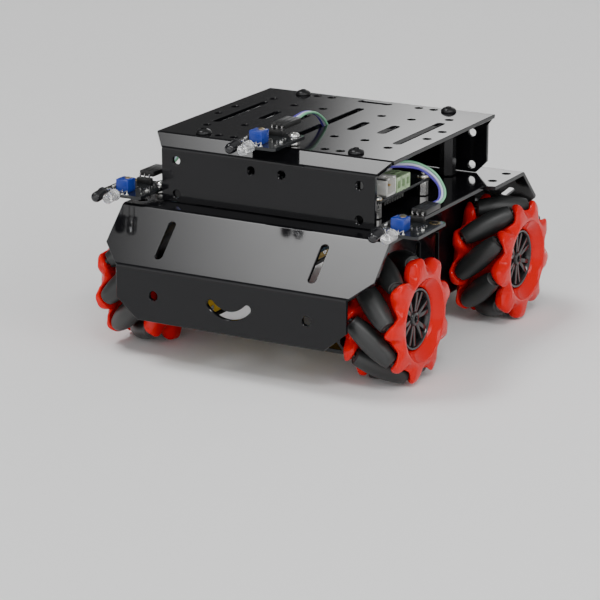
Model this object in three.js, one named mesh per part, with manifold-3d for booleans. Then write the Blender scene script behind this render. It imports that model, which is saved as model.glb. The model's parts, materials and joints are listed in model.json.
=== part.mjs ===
// Four-wheel mecanum robot chassis: a bent main plate with bumpers, a raised deck, motor rails,
// four geared motors, four nine-roller wheels, three distance sensors, a controller board and
// a battery pack. Millimetres, +Z up, the ground at Z = 0, the front of the robot towards -Y.
import * as THREE from "three";
import { mergeVertices } from "three/addons/utils/BufferGeometryUtils.js";
import Module from "manifold-3d";

const wasm = await Module();
wasm.setup();

// Sheet metal
const SHEET = 2;
const GAP = 0.3;
const HOLE_SIDES = 8;
const ROUND_SIDES = 12;
const SLOT_WIDTH = 4;
const BEND_DROP = Math.SQRT1_2;
const OVERLAP = 1;
const SEAT_DEPTH = 0.5;

// Main plate and bumpers
const PLATE_TOP = 69.5;
const PLATE_HALF_LENGTH = 72;
const PLATE_HALF_WIDTH = 70;
const WAIST_HALF_WIDTH = 64.6;
const WAIST_HALF_LENGTH = 37;
const WAIST_STEP = 1.6;
const SLOPE_LENGTH = 32.3;
const SLOPE_CHAMFER_START = 21.5;
const BUMPER_HALF_WIDTH = 60;
const BUMPER_HEIGHT = 25.1;
const BUMPER_CHAMFER_START = 15.7;
const BUMPER_FOOT_HALF_WIDTH = 48.75;

// Deck
const DECK_TOP = 101;
const DECK_HALF_WIDTH = 62;
const DECK_HALF_LENGTH = 54;
const FLANGE_SIZE = 6;
const END_PLATE_HALF_WIDTH = DECK_HALF_WIDTH - FLANGE_SIZE;
const END_PLATE_FOOT = PLATE_TOP + GAP;
const PILLAR_X = 40;
const PILLAR_Y = 48;
const PILLAR_HOLE_RADIUS = 2.3;
const SENSOR_FIXING_RADIUS = 1.7;
const DECK_HOLE_RADIUS = 2;
const DECK_HOLES = [[16, 24], [32, 24], [24, 48], [32, 48], [48, 32], [56, 8]];
const DECK_SLOTS = [[0, 34], [-48, 24.5], [48, 24.5], [-32, 9], [-16, 9], [16, 9], [32, 9]];
const FRONT_SLOT_REACH = 7;

// Wheels and rollers
const WHEEL_RADIUS = 30;
const WHEEL_WIDTH = 30;
const WHEEL_X = 65;
const AXLE_Y = 56;
const AXLE_Z = WHEEL_RADIUS;
const ROLLER_COUNT = 9;
const ROLLER_RADIUS = 5.5;
const ROLLER_HALF_LENGTH = 13;
const ROLLER_CENTRE = WHEEL_RADIUS - ROLLER_RADIUS;
const PIN_RADIUS = 1.4;
const PIN_HALF_LENGTH = 15.7;
const LOBE_TIP = 29.3;
const LOBE_ROOT = 25;
const LOBE_SHIFT = 23.4;
const RIM_SHEET = 2.4;
const LOBE_STEPS = 4;
const HUB_RECESS_RADIUS = 14.5;
const BARREL_WALL = 2;
const BOSS_RADIUS = 6;
const BOSS_BACK = -9;
const BOSS_FACE = 11;
const HUB_DISC_BACK = 4;
const HUB_DISC_FACE = 8;
const STUB_RADIUS = 2.7;

// Rails and motors
const RAIL_OUTER_X = 48.4;
const RAIL_INNER_X = 34;
const RAIL_TOP = PLATE_TOP - SHEET - GAP;
const RAIL_FOOT = 12.5;
const RAIL_HALF_LENGTH = 78;
const MOTOR_WIDTH = 18.8;
const MOTOR_HEIGHT = 22.4;
const MOTOR_NOSE_Y = 67.5;
const GEARBOX_LENGTH = 37;
const MOTOR_TAIL_Y = 3;
const MOTOR_OUTER_X = RAIL_OUTER_X - SHEET - GAP;
const MOTOR_X = MOTOR_OUTER_X - MOTOR_WIDTH / 2;

// Controller board
const BOARD_THICKNESS = 1.6;
const BOARD_BOTTOM = 77;
const BOARD_TOP = BOARD_BOTTOM + BOARD_THICKNESS;
const BOARD_HALF_WIDTH = 49.5;
const BOARD_FRONT_Y = -43.5;
const BOARD_REAR_Y = 10.5;
const BOARD_HOLE_INSET = 3;
const SOCKET_TOP = 84;
const SOCKET_HALF_WIDTH = 5;
const SOCKET_HALF_DEPTH = 3;
const SOCKET_X = 28;
const SOCKET_Y = -39.5;
const CENTRE_SOCKET_Y = 2;

// Other parts on the controller board: [left, right, front, rear, top]
const POWER_SOCKET = [39, BOARD_HALF_WIDTH + 0.3, -36, -26.4, 87.4];
const SCREW_TERMINAL = [40, BOARD_HALF_WIDTH + 0.6, -26, -12.5, 85.6];
const PROCESSOR = [-18, 12, -30, -10, BOARD_TOP + 3];
const CAPACITOR_ROW = [-46, -34, -30, 0, BOARD_TOP + 8];

// Distance sensors: local origin at the middle of the two board holes, on the sheet below
const SENSOR_HOLE_X = 8;
const SENSOR_RISE = 2.5;
const SENSOR_HALF_WIDTH = 12;
const SENSOR_FRONT_Y = -25.5;
const SENSOR_REAR_Y = 4;
const SENSOR_TOP = SENSOR_RISE + BOARD_THICKNESS;
const LED_RADIUS = 2.5;
const LED_COLLAR = 0.3;
const LED_COLLAR_LENGTH = 1;
const LED_RISE = 1.8;
const LEAD_HALF_WIDTH = 1.6;
const LEAD_HALF_THICKNESS = 0.4;
const LEAD_START = 1.6;
const LEAD_END = 2.5;
const PART_SEAT = 0.3;
const TRIMMER_HALF_WIDTH = 3.3;
const TRIMMER_FRONT_Y = -21.7;
const TRIMMER_REAR_Y = -14.9;
const TRIMMER_HEIGHT = 6.4;
const HEADER_FRONT_Y = -2.8;
const HEADER_REAR_Y = -0.3;
const HEADER_HEIGHT = 2.5;
const PIN_ROW_HALF_WIDTH = 2.9;
const PIN_ROW_FRONT_Y = -1.9;
const PIN_ROW_REAR_Y = -1.2;
const PIN_ROW_HALF_THICKNESS = 0.35;
const LED_LENGTH = 8.6;
const LED_X = 3.2;
const LED_TIP_Y = -41;
const LED_DROOP = THREE.MathUtils.degToRad(6);
const PLUG_HALF_WIDTH = 3.8;
const PLUG_REAR_Y = 14.5;
const PLUG_CENTRE_Z = SENSOR_TOP + 4.15;
const PLUG_HEIGHT = 2.5;
const SIDE_SENSOR_X = 72;
const SENSOR_Y = -48;
const CABLE_DIAMETER = 3;

const ALONG_X = new THREE.Vector3(1, 0, 0);
const ALONG_Y = new THREE.Vector3(0, 1, 0);
const ALONG_Z = new THREE.Vector3(0, 0, 1);
const DOWN = new THREE.Vector3(0, 0, -1);
const DOWN_SLOPE = new THREE.Vector3(0, -BEND_DROP, -BEND_DROP);

function finish(color, roughness, metalness) {
  return new THREE.MeshStandardMaterial({ color, roughness, metalness });
}

const FINISHES = {
  blackSheet: () => finish(0x1c1c1f, 0.22, 0.5),
  redRim: () => finish(0xd8120e, 0.2, 0.0),
  rubber: () => finish(0x1b1d1d, 0.5, 0.0),
  yellowCase: () => finish(0xe8b000, 0.45, 0.0),
  blackPillar: () => finish(0x151515, 0.3, 0.4),
  board: () => finish(0x121417, 0.35, 0.0),
  battery: () => finish(0x24303a, 0.5, 0.0),
  cable: () => finish(0x6a5fb8, 0.5, 0.0),
};

// ---- Solids ----

function toSolid(geometry) {
  const bare = geometry.clone();
  bare.deleteAttribute("normal");
  bare.deleteAttribute("uv");
  const merged = mergeVertices(bare);
  return new wasm.Manifold(new wasm.Mesh({
    numProp: 3,
    vertProperties: merged.attributes.position.array,
    triVerts: Uint32Array.from(merged.index.array),
  }));
}

function toGeometry(solid) {
  const mesh = solid.getMesh();
  const geometry = new THREE.BufferGeometry();
  geometry.setAttribute("position", new THREE.BufferAttribute(mesh.vertProperties, 3));
  geometry.setIndex(new THREE.BufferAttribute(mesh.triVerts, 1));
  geometry.computeVertexNormals();
  return geometry;
}

function joined(geometries) {
  return toGeometry(geometries.map(toSolid).reduce((whole, piece) => whole.add(piece)));
}

function block(low, high) {
  const size = high.map((value, i) => value - low[i]);
  const centre = high.map((value, i) => (value + low[i]) / 2);
  return new THREE.BoxGeometry(...size).translate(...centre);
}

// A round bar from one height to another, standing on the XY plane.
function post(x, y, radius, bottom, top, sides = ROUND_SIDES) {
  const bar = new THREE.CylinderGeometry(radius, radius, top - bottom, sides);
  return bar.rotateX(Math.PI / 2).translate(x, y, (top + bottom) / 2);
}

// A slab whose outline lies in the plane of two directions, thickened along their cross product.
function slab(shape, depth, origin, along, across) {
  const normal = new THREE.Vector3().crossVectors(along, across);
  const frame = new THREE.Matrix4().makeBasis(along, across, normal).setPosition(origin);
  return new THREE.ExtrudeGeometry(shape, { depth, bevelEnabled: false }).applyMatrix4(frame);
}

// ---- Outlines ----

function outlineOf(points, holes = []) {
  const shape = new THREE.Shape(points);
  shape.holes = holes.map((hole) => new THREE.Path(hole));
  return shape;
}

function point(x, y) {
  return new THREE.Vector2(x, y);
}

// Both sides of an outline from its right side, listed from one end to the other.
function mirrored(rightSide) {
  const leftSide = rightSide.map((p) => point(-p.x, p.y)).reverse();
  return [...rightSide, ...leftSide];
}

function arc(cx, cy, radius, start, end, steps) {
  return Array.from({ length: steps + 1 }, (_, i) => {
    const angle = start + ((end - start) * i) / steps;
    return point(cx + radius * Math.cos(angle), cy + radius * Math.sin(angle));
  });
}

function roundHole(x, y, radius) {
  return arc(x, y, radius, 0, 2 * Math.PI, HOLE_SIDES).slice(1);
}

// A slot with round ends between two end centres.
function slot(from, to, width = SLOT_WIDTH) {
  const heading = Math.atan2(to.y - from.y, to.x - from.x);
  const quarter = Math.PI / 2;
  return [
    ...arc(to.x, to.y, width / 2, heading - quarter, heading + quarter, 3),
    ...arc(from.x, from.y, width / 2, heading + quarter, heading + 3 * quarter, 3),
  ];
}

function slotAlongY(x, halfLength) {
  const reach = halfLength - SLOT_WIDTH / 2;
  return slot(point(x, -reach), point(x, reach));
}

// A smile-shaped slot: an arc of even width about a centre, sagging towards +y.
function smileSlot(centreY, midRadius, halfAngle, width) {
  const start = Math.PI / 2 - halfAngle;
  const end = Math.PI / 2 + halfAngle;
  const outer = arc(0, centreY, midRadius + width / 2, start, end, 8);
  const inner = arc(0, centreY, midRadius - width / 2, end, start, 8);
  return [...outer, ...inner];
}

function fourWays(x, y, radius) {
  return [-1, 1].flatMap((sx) => [-1, 1].map((sy) => roundHole(sx * x, sy * y, radius)));
}

function twoSides(x, y, radius) {
  return [-1, 1].map((side) => roundHole(side * x, y, radius));
}

// ---- Main plate ----

function plateTop() {
  const waistEnd = WAIST_HALF_LENGTH + WAIST_STEP;
  const rightSide = [
    point(PLATE_HALF_WIDTH, -PLATE_HALF_LENGTH),
    point(PLATE_HALF_WIDTH, -waistEnd),
    point(WAIST_HALF_WIDTH, -WAIST_HALF_LENGTH),
    point(WAIST_HALF_WIDTH, WAIST_HALF_LENGTH),
    point(PLATE_HALF_WIDTH, waistEnd),
    point(PLATE_HALF_WIDTH, PLATE_HALF_LENGTH),
  ];
  const cornerHole = 64;
  const wireSlotX = 24;
  const holes = [
    ...fourWays(cornerHole, cornerHole, 2.1),
    ...twoSides(cornerHole, 48, 2.1),
    ...[-1, 1].map((side) => slotAlongY(side * wireSlotX, 16)),
  ];
  const shape = outlineOf(mirrored(rightSide), holes);
  return slab(shape, SHEET, new THREE.Vector3(0, 0, PLATE_TOP - SHEET), ALONG_X, ALONG_Y);
}

// The 45 degree slope and the upright face below it, for the front; slots differ by end.
function bumper(slopeHoles, faceHoles) {
  const slopeSide = [
    point(PLATE_HALF_WIDTH, 0),
    point(PLATE_HALF_WIDTH, SLOPE_CHAMFER_START),
    point(BUMPER_HALF_WIDTH, SLOPE_LENGTH),
  ];
  const faceSide = [
    point(BUMPER_HALF_WIDTH, 0),
    point(BUMPER_HALF_WIDTH, BUMPER_CHAMFER_START),
    point(BUMPER_FOOT_HALF_WIDTH, BUMPER_HEIGHT),
  ];
  const slopeStart = new THREE.Vector3(0, -PLATE_HALF_LENGTH, PLATE_TOP);
  const faceStart = slopeStart.clone().addScaledVector(DOWN_SLOPE, SLOPE_LENGTH);
  return [
    slab(outlineOf(mirrored(slopeSide), slopeHoles), SHEET, slopeStart, ALONG_X, DOWN_SLOPE),
    slab(outlineOf(mirrored(faceSide), faceHoles), SHEET, faceStart, ALONG_X, DOWN),
  ];
}

function mainPlate() {
  const faceHoleX = 40;
  const faceHoleDrop = 12.5;
  const faceHoles = twoSides(faceHoleX, faceHoleDrop, 2.25);
  const smileDrop = 3.3;
  const smileRadius = 12.7;
  const smileHalfAngle = THREE.MathUtils.degToRad(49);
  const smile = smileSlot(smileDrop, smileRadius, smileHalfAngle, SLOT_WIDTH);
  const longSlotX = 40;
  const [longSlotStart, longSlotEnd] = [8.2, 24.4];
  const longSlots = [-1, 1].map((side) => (
    slot(point(side * longSlotX, longSlotStart), point(side * longSlotX, longSlotEnd))
  ));
  const cornerSlotWidth = 3;
  const [cornerLow, cornerHigh] = [point(51.5, 24), point(59.2, 15.6)];
  const cornerSlots = [-1, 1].map((side) => {
    const from = point(side * cornerLow.x, cornerLow.y);
    return slot(from, point(side * cornerHigh.x, cornerHigh.y), cornerSlotWidth);
  });
  const front = bumper(longSlots, [...faceHoles, smile]);
  const rear = bumper(cornerSlots, faceHoles).map((piece) => piece.rotateZ(Math.PI));
  return joined([plateTop(), ...front, ...rear]);
}

// ---- Deck ----

function deckTop() {
  const holes = [
    ...DECK_HOLES.flatMap(([x, y]) => fourWays(x, y, DECK_HOLE_RADIUS)),
    ...fourWays(PILLAR_X, PILLAR_Y, PILLAR_HOLE_RADIUS),
    roundHole(-SENSOR_HOLE_X, SENSOR_Y, SENSOR_FIXING_RADIUS),
    slot(point(-FRONT_SLOT_REACH, PILLAR_Y), point(FRONT_SLOT_REACH, PILLAR_Y)),
    ...DECK_SLOTS.map(([x, halfLength]) => slotAlongY(x, halfLength)),
  ];
  const rightSide = [
    point(DECK_HALF_WIDTH, -DECK_HALF_LENGTH),
    point(DECK_HALF_WIDTH, DECK_HALF_LENGTH),
  ];
  const shape = outlineOf(mirrored(rightSide), holes);
  return slab(shape, SHEET, new THREE.Vector3(0, 0, DECK_TOP - SHEET), ALONG_X, ALONG_Y);
}

// The narrow 45 degree flange and the upright end plate at the front; holes differ by end.
function deckEnd(plateHoles, footChamfer) {
  const flangeRun = FLANGE_SIZE / BEND_DROP;
  const flangeSide = [point(DECK_HALF_WIDTH, 0), point(END_PLATE_HALF_WIDTH, flangeRun)];
  const flangeStart = new THREE.Vector3(0, -DECK_HALF_LENGTH, DECK_TOP);
  const plateStart = flangeStart.clone().add(new THREE.Vector3(0, -FLANGE_SIZE, -FLANGE_SIZE));
  const plateDrop = plateStart.z - END_PLATE_FOOT;
  const plateSide = [
    point(END_PLATE_HALF_WIDTH, 0),
    point(END_PLATE_HALF_WIDTH, plateDrop - footChamfer),
    point(END_PLATE_HALF_WIDTH - footChamfer, plateDrop),
  ];
  return [
    slab(outlineOf(mirrored(flangeSide)), SHEET, flangeStart, ALONG_X, DOWN_SLOPE),
    slab(outlineOf(mirrored(plateSide), plateHoles), SHEET, plateStart, ALONG_X, DOWN),
  ];
}

function topDeck() {
  const upperHoleDrop = 5.5;
  const lowerHoleDrop = 21.5;
  const sideHoleX = 48;
  const [frontFootChamfer, rearFootChamfer] = [0.5, 6];
  const sideHoles = [upperHoleDrop, lowerHoleDrop].flatMap((drop) => (
    twoSides(sideHoleX, drop, DECK_HOLE_RADIUS)
  ));
  const sensorHoles = twoSides(SENSOR_HOLE_X, upperHoleDrop, DECK_HOLE_RADIUS);
  const front = deckEnd([...sideHoles, ...sensorHoles], frontFootChamfer);
  const rear = deckEnd(sideHoles, rearFootChamfer).map((piece) => piece.rotateZ(Math.PI));
  return joined([deckTop(), ...front, ...rear]);
}

// A hexagonal pillar between plate and deck, with the button-head screw that holds the deck down.
function deckPillar() {
  const acrossCorners = 4;
  const headRadius = 3.8;
  const headHeight = 2.1;
  const threadRadius = 1.9;
  const headBottom = DECK_TOP + GAP;
  return joined([
    post(0, 0, acrossCorners, PLATE_TOP + GAP, DECK_TOP - SHEET - GAP, 6),
    post(0, 0, threadRadius, DECK_TOP - SHEET - OVERLAP, headBottom + SEAT_DEPTH, 8),
    post(0, 0, headRadius, headBottom, headBottom + headHeight),
  ]);
}

// ---- Rails and motors ----

// A channel that hangs under the main plate: upright web with flanges that point inwards.
function motorRail() {
  const notch = 8;
  const end = RAIL_HALF_LENGTH;
  const webPoints = [
    point(-end + notch, RAIL_FOOT),
    point(end - notch, RAIL_FOOT),
    point(end, RAIL_FOOT + notch),
    point(end, RAIL_TOP - notch),
    point(end - notch, RAIL_TOP),
    point(-end + notch, RAIL_TOP),
    point(-end, RAIL_TOP - notch),
    point(-end, RAIL_FOOT + notch),
  ];
  const shaftHoleRadius = 4;
  const shaftHoles = [-1, 1].map((side) => roundHole(side * AXLE_Y, AXLE_Z, shaftHoleRadius));
  const webStart = new THREE.Vector3(RAIL_OUTER_X - SHEET, 0, 0);
  const flangeEnd = end - notch;
  const flangeOuterX = RAIL_OUTER_X - OVERLAP;
  return joined([
    slab(outlineOf(webPoints, shaftHoles), SHEET, webStart, ALONG_Y, ALONG_Z),
    block([RAIL_INNER_X, -flangeEnd, RAIL_TOP - SHEET], [flangeOuterX, flangeEnd, RAIL_TOP]),
    block([RAIL_INNER_X, -flangeEnd, RAIL_FOOT], [flangeOuterX, flangeEnd, RAIL_FOOT + SHEET]),
  ]);
}

// A right-angle geared motor: flat gearbox at the nose, a can with flat sides behind it.
function gearMotor() {
  const halfWidth = MOTOR_WIDTH / 2;
  const halfHeight = MOTOR_HEIGHT / 2;
  const chamfer = 2;
  const profile = mirrored([
    point(halfWidth, -halfHeight + chamfer),
    point(halfWidth, halfHeight - chamfer),
    point(halfWidth - chamfer, halfHeight),
  ]).concat([point(-halfWidth + chamfer, -halfHeight), point(halfWidth - chamfer, -halfHeight)]);
  const canRadius = 10;
  const canFlat = 7.5;
  const canSteps = 6;
  const flatAngle = Math.acos(canFlat / canRadius);
  const canShape = outlineOf([
    ...arc(0, 0, canRadius, flatAngle, Math.PI - flatAngle, canSteps),
    ...arc(0, 0, canRadius, Math.PI + flatAngle, 2 * Math.PI - flatAngle, canSteps),
  ]);
  const noseStart = new THREE.Vector3(0, -MOTOR_NOSE_Y + GEARBOX_LENGTH, 0);
  const canStart = new THREE.Vector3(0, -MOTOR_TAIL_Y, 0);
  const canLength = MOTOR_NOSE_Y - GEARBOX_LENGTH - MOTOR_TAIL_Y + OVERLAP;
  return joined([
    slab(outlineOf(profile), GEARBOX_LENGTH, noseStart, ALONG_X, ALONG_Z),
    slab(canShape, canLength, canStart, ALONG_X, ALONG_Z),
  ]);
}

// ---- Wheels ----

// Lobed side plate of a wheel, with one lobe over the end of each roller.
function lobedPlate(innerX, lobePhase, boreRadius) {
  const steps = ROLLER_COUNT * LOBE_STEPS;
  const rim = Array.from({ length: steps }, (_, i) => {
    const angle = (2 * Math.PI * i) / steps;
    const swell = (1 + Math.cos(ROLLER_COUNT * (angle - lobePhase))) / 2;
    const radius = LOBE_ROOT + (LOBE_TIP - LOBE_ROOT) * swell;
    return point(radius * Math.sin(angle), radius * Math.cos(angle));
  }).reverse();
  const bore = arc(0, 0, boreRadius, 0, 2 * Math.PI, ROUND_SIDES).slice(1);
  const start = new THREE.Vector3(innerX, 0, 0);
  return slab(outlineOf(rim, [bore]), RIM_SHEET, start, ALONG_Y, ALONG_Z);
}

// Barrel, hub disc, boss and drive stub in one turned profile, [radius, distance outwards].
function wheelCore() {
  const half = WHEEL_WIDTH / 2;
  const barrelRadius = HUB_RECESS_RADIUS + BARREL_WALL;
  const barrelEnd = half - 0.5;
  const stubEnd = -(WHEEL_X - MOTOR_OUTER_X - GAP);
  const profile = [
    [0, stubEnd], [STUB_RADIUS, stubEnd], [STUB_RADIUS, BOSS_BACK],
    [BOSS_RADIUS, BOSS_BACK], [BOSS_RADIUS, HUB_DISC_BACK], [HUB_RECESS_RADIUS, HUB_DISC_BACK],
    [HUB_RECESS_RADIUS, -barrelEnd], [barrelRadius, -barrelEnd],
    [barrelRadius, barrelEnd], [HUB_RECESS_RADIUS, barrelEnd],
    [HUB_RECESS_RADIUS, HUB_DISC_FACE], [BOSS_RADIUS, HUB_DISC_FACE],
    [BOSS_RADIUS, BOSS_FACE], [0, BOSS_FACE],
  ];
  const turned = new THREE.LatheGeometry(profile.map(([r, x]) => point(r, x)), ROUND_SIDES);
  return turned.rotateZ(-Math.PI / 2);
}

// lean is +1 where the outer roller ends point forwards, -1 where they point rearwards.
function wheelBody(lean, rollerPhase) {
  const half = WHEEL_WIDTH / 2;
  const shift = lean * THREE.MathUtils.degToRad(LOBE_SHIFT);
  return joined([
    wheelCore(),
    lobedPlate(half - RIM_SHEET, rollerPhase - shift, HUB_RECESS_RADIUS),
    lobedPlate(-half, rollerPhase + shift, HUB_RECESS_RADIUS),
  ]);
}

// Barrel-shaped roller that keeps to the wheel's outer cylinder, with its pin ends; axis along Y.
function rollerBody() {
  const stations = [-1, -0.55, 0, 0.55, 1].map((part) => part * ROLLER_HALF_LENGTH);
  const barrel = stations.map((t) => {
    const axisDistance = Math.hypot(ROLLER_CENTRE, t * BEND_DROP);
    return point(WHEEL_RADIUS - axisDistance, t);
  });
  const profile = [
    point(0, -PIN_HALF_LENGTH),
    point(PIN_RADIUS, -PIN_HALF_LENGTH),
    point(PIN_RADIUS, -ROLLER_HALF_LENGTH),
    ...barrel,
    point(PIN_RADIUS, ROLLER_HALF_LENGTH),
    point(PIN_RADIUS, PIN_HALF_LENGTH),
    point(0, PIN_HALF_LENGTH),
  ];
  return new THREE.LatheGeometry(profile, 8);
}

// ---- Controller board and battery ----

function boardPart([left, right, front, rear, top]) {
  return block([left, front, BOARD_TOP - SEAT_DEPTH], [right, rear, top]);
}

function pinSocket(x, y) {
  const [reachX, reachY] = [SOCKET_HALF_WIDTH, SOCKET_HALF_DEPTH];
  return boardPart([x - reachX, x + reachX, y - reachY, y + reachY, SOCKET_TOP]);
}

function controllerBoard() {
  const [standRadius, headRadius, headHeight] = [2.5, 2.8, 1.8];
  const holeX = BOARD_HALF_WIDTH - BOARD_HOLE_INSET;
  const holeYs = [BOARD_FRONT_Y + BOARD_HOLE_INSET, BOARD_REAR_Y - BOARD_HOLE_INSET];
  const stands = [-1, 1].flatMap((side) => holeYs.flatMap((y) => [
    post(side * holeX, y, standRadius, PLATE_TOP + GAP, BOARD_BOTTOM + SEAT_DEPTH, 6),
    post(side * holeX, y, headRadius, BOARD_TOP - SEAT_DEPTH, BOARD_TOP + headHeight, 8),
  ]));
  const low = [-BOARD_HALF_WIDTH, BOARD_FRONT_Y, BOARD_BOTTOM];
  return joined([
    block(low, [BOARD_HALF_WIDTH, BOARD_REAR_Y, BOARD_TOP]),
    ...stands,
    boardPart(POWER_SOCKET),
    boardPart(SCREW_TERMINAL),
    pinSocket(SOCKET_X, SOCKET_Y),
    pinSocket(-SOCKET_X, SOCKET_Y),
    pinSocket(0, CENTRE_SOCKET_Y),
    boardPart(PROCESSOR),
    boardPart(CAPACITOR_ROW),
  ]);
}

// Two round cells side by side in a tray under the main plate.
function batteryPack() {
  const cellRadius = 9.6;
  const halfLength = 38;
  const cellSpacing = 0.6;
  const trayHalfWidth = 21;
  const trayRoof = 2;
  const trayEnd = halfLength + OVERLAP;
  const top = PLATE_TOP - SHEET - GAP;
  const cellZ = top - cellRadius - trayRoof;
  const cells = [-1, 1].map((side) => {
    const cell = new THREE.CylinderGeometry(cellRadius, cellRadius, 2 * halfLength, ROUND_SIDES);
    return cell.translate(side * (cellRadius + cellSpacing), 0, cellZ);
  });
  const tray = block([-trayHalfWidth, -trayEnd, cellZ + trayRoof], [trayHalfWidth, trayEnd, top]);
  return joined([tray, ...cells]);
}

// ---- Sensors and cables ----

// One light-emitting diode, tip towards -Y, as a turned body with a dome.
function diode(x) {
  const dome = arc(0, LED_LENGTH - LED_RADIUS, LED_RADIUS, 0, Math.PI / 2, 3);
  const collar = LED_RADIUS + LED_COLLAR;
  const profile = [
    point(0, 0),
    point(collar, 0),
    point(collar, LED_COLLAR_LENGTH),
    point(LED_RADIUS, LED_COLLAR_LENGTH),
    ...dome,
  ];
  profile[profile.length - 1] = point(0, LED_LENGTH);
  const body = new THREE.LatheGeometry(profile, 8).rotateX(Math.PI + LED_DROOP);
  const rearY = LED_TIP_Y + LED_LENGTH;
  const rearZ = SENSOR_TOP + LED_RISE;
  const [left, right] = [x - LEAD_HALF_WIDTH, x + LEAD_HALF_WIDTH];
  const leadTop = [right, SENSOR_FRONT_Y + LEAD_END, rearZ + LEAD_HALF_THICKNESS];
  return [
    body.translate(x, rearY, rearZ),
    block([left, rearY - SEAT_DEPTH, rearZ - LEAD_HALF_THICKNESS], leadTop),
    block([left, SENSOR_FRONT_Y + LEAD_START, SENSOR_TOP - PART_SEAT], leadTop),
  ];
}

// Infrared distance sensor: board, two diodes, trimmer, header with its plug, and its stand.
// standSide says which of the two board holes holds the stand.
function sensorModule(standSide) {
  const [holeRadius, standRadius, headRadius, headHeight] = [1.6, 2.5, 2.7, 1.8];
  const standX = standSide * SENSOR_HOLE_X;
  const rightSide = [
    point(SENSOR_HALF_WIDTH, SENSOR_FRONT_Y),
    point(SENSOR_HALF_WIDTH, SENSOR_REAR_Y),
  ];
  const boardShape = outlineOf(mirrored(rightSide), [roundHole(-standX, 0, holeRadius)]);
  const boardStart = new THREE.Vector3(0, 0, SENSOR_RISE);
  const seat = SENSOR_TOP - PART_SEAT;
  const plugBottom = PLUG_CENTRE_Z - PLUG_HEIGHT / 2;
  const plugTop = plugBottom + PLUG_HEIGHT;
  const [pinBottom, pinTop] = [-1, 1].map((side) => PLUG_CENTRE_Z + side * PIN_ROW_HALF_THICKNESS);
  return joined([
    slab(boardShape, BOARD_THICKNESS, boardStart, ALONG_X, ALONG_Y),
    post(standX, 0, standRadius, GAP, SENSOR_RISE + SEAT_DEPTH, 8),
    post(standX, 0, headRadius, seat, SENSOR_TOP + headHeight, 8),
    ...diode(-LED_X),
    ...diode(LED_X),
    ...[
      [TRIMMER_HALF_WIDTH, TRIMMER_FRONT_Y, TRIMMER_REAR_Y, seat, SENSOR_TOP + TRIMMER_HEIGHT],
      [PLUG_HALF_WIDTH, HEADER_FRONT_Y, HEADER_REAR_Y, seat, SENSOR_TOP + HEADER_HEIGHT],
      [PIN_ROW_HALF_WIDTH, PIN_ROW_FRONT_Y, PIN_ROW_REAR_Y, SENSOR_TOP + 2, pinTop],
      [PIN_ROW_HALF_WIDTH, PIN_ROW_FRONT_Y, SEAT_DEPTH, pinBottom, pinTop],
      [PLUG_HALF_WIDTH, 0, PLUG_REAR_Y, plugBottom, plugTop],
    ].map(([halfWidth, front, rear, bottom, top]) => (
      block([-halfWidth, front, bottom], [halfWidth, rear, top])
    )),
  ]);
}

// A ribbon cable, plain and round, along a curve through the given places.
function cable(places) {
  const path = new THREE.CatmullRomCurve3(places.map((place) => new THREE.Vector3(...place)));
  const section = outlineOf(arc(0, 0, CABLE_DIAMETER / 2, 0, 2 * Math.PI, 8).slice(1));
  const steps = Math.ceil(path.getLength() / (1.6 * CABLE_DIAMETER));
  return new THREE.ExtrudeGeometry(section, { steps, extrudePath: path, bevelEnabled: false });
}

const PLUG_END_Y = SENSOR_Y + PLUG_REAR_Y + GAP;
const SIDE_PLUG_Z = PLATE_TOP + PLUG_CENTRE_Z;
const TOP_PLUG_Z = DECK_TOP + PLUG_CENTRE_Z;
const SOCKET_ENTRY_Z = SOCKET_TOP + GAP;

const TOP_CABLE = [
  [0, PLUG_END_Y, TOP_PLUG_Z], [0, -30, TOP_PLUG_Z + 0.4], [0, -25, 110.2], [0, -20, 109.9],
  [0, -15, 108.7], [0, -10.5, 106.6], [0, -6.5, 103.8], [0, -3, 100], [0, -0.8, 96.5],
  [0, 0.8, 92.5], [0, 1.9, 88.5], [0, CENTRE_SOCKET_Y, SOCKET_ENTRY_Z],
];

const RIGHT_CABLE = [
  [72, PLUG_END_Y, SIDE_PLUG_Z], [72, -30.2, 77.7], [72, -26.8, 77.9], [71.9, -24.2, 79.3],
  [71.3, -23, 82], [70, -22.8, 84.8], [67.8, -23.1, 87.6], [64.4, -23.6, 90.2], [60.6, -24.2, 91.9],
  [57, -26.2, 93], [54.4, -29.6, 93.6], [51, -33.6, 93.9], [46, -36.6, 93.6], [40, -38.3, 92.4],
  [34, -39.3, 91], [29.9, -39.5, 89.4], [SOCKET_X, SOCKET_Y, 87], [SOCKET_X, SOCKET_Y, SOCKET_ENTRY_Z],
];

const LEFT_CABLE = [
  [-72, PLUG_END_Y, SIDE_PLUG_Z], [-72, -30.2, 77.7], [-71.9, -26.8, 78], [-71, -24.4, 79.8],
  [-69, -24, 82.4], [-66, -25.6, 84.8], [-62.6, -29.4, 86.4], [-59.4, -34.4, 87.2],
  [-56, -39, 87.6], [-51.4, -41, 88.4], [-45.6, -40.4, 89.4], [-39.6, -39.4, 89.8],
  [-34, -39.3, 90], [-29.9, -39.5, 89], [-SOCKET_X, SOCKET_Y, 87], [-SOCKET_X, SOCKET_Y, SOCKET_ENTRY_Z],
];

// ---- Assembly ----

const chassis = new THREE.Group();

function addMesh(parent, name, geometry, material) {
  const mesh = new THREE.Mesh(geometry, material);
  mesh.name = name;
  parent.add(mesh);
  return mesh;
}

function addFrame() {
  addMesh(chassis, "main_plate", mainPlate(), FINISHES.blackSheet());
  addMesh(chassis, "top_deck", topDeck(), FINISHES.blackSheet());
  addMesh(chassis, "motor_rail_right", motorRail(), FINISHES.blackSheet());
  addMesh(chassis, "motor_rail_left", motorRail(), FINISHES.blackSheet()).rotation.z = Math.PI;
}

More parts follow.
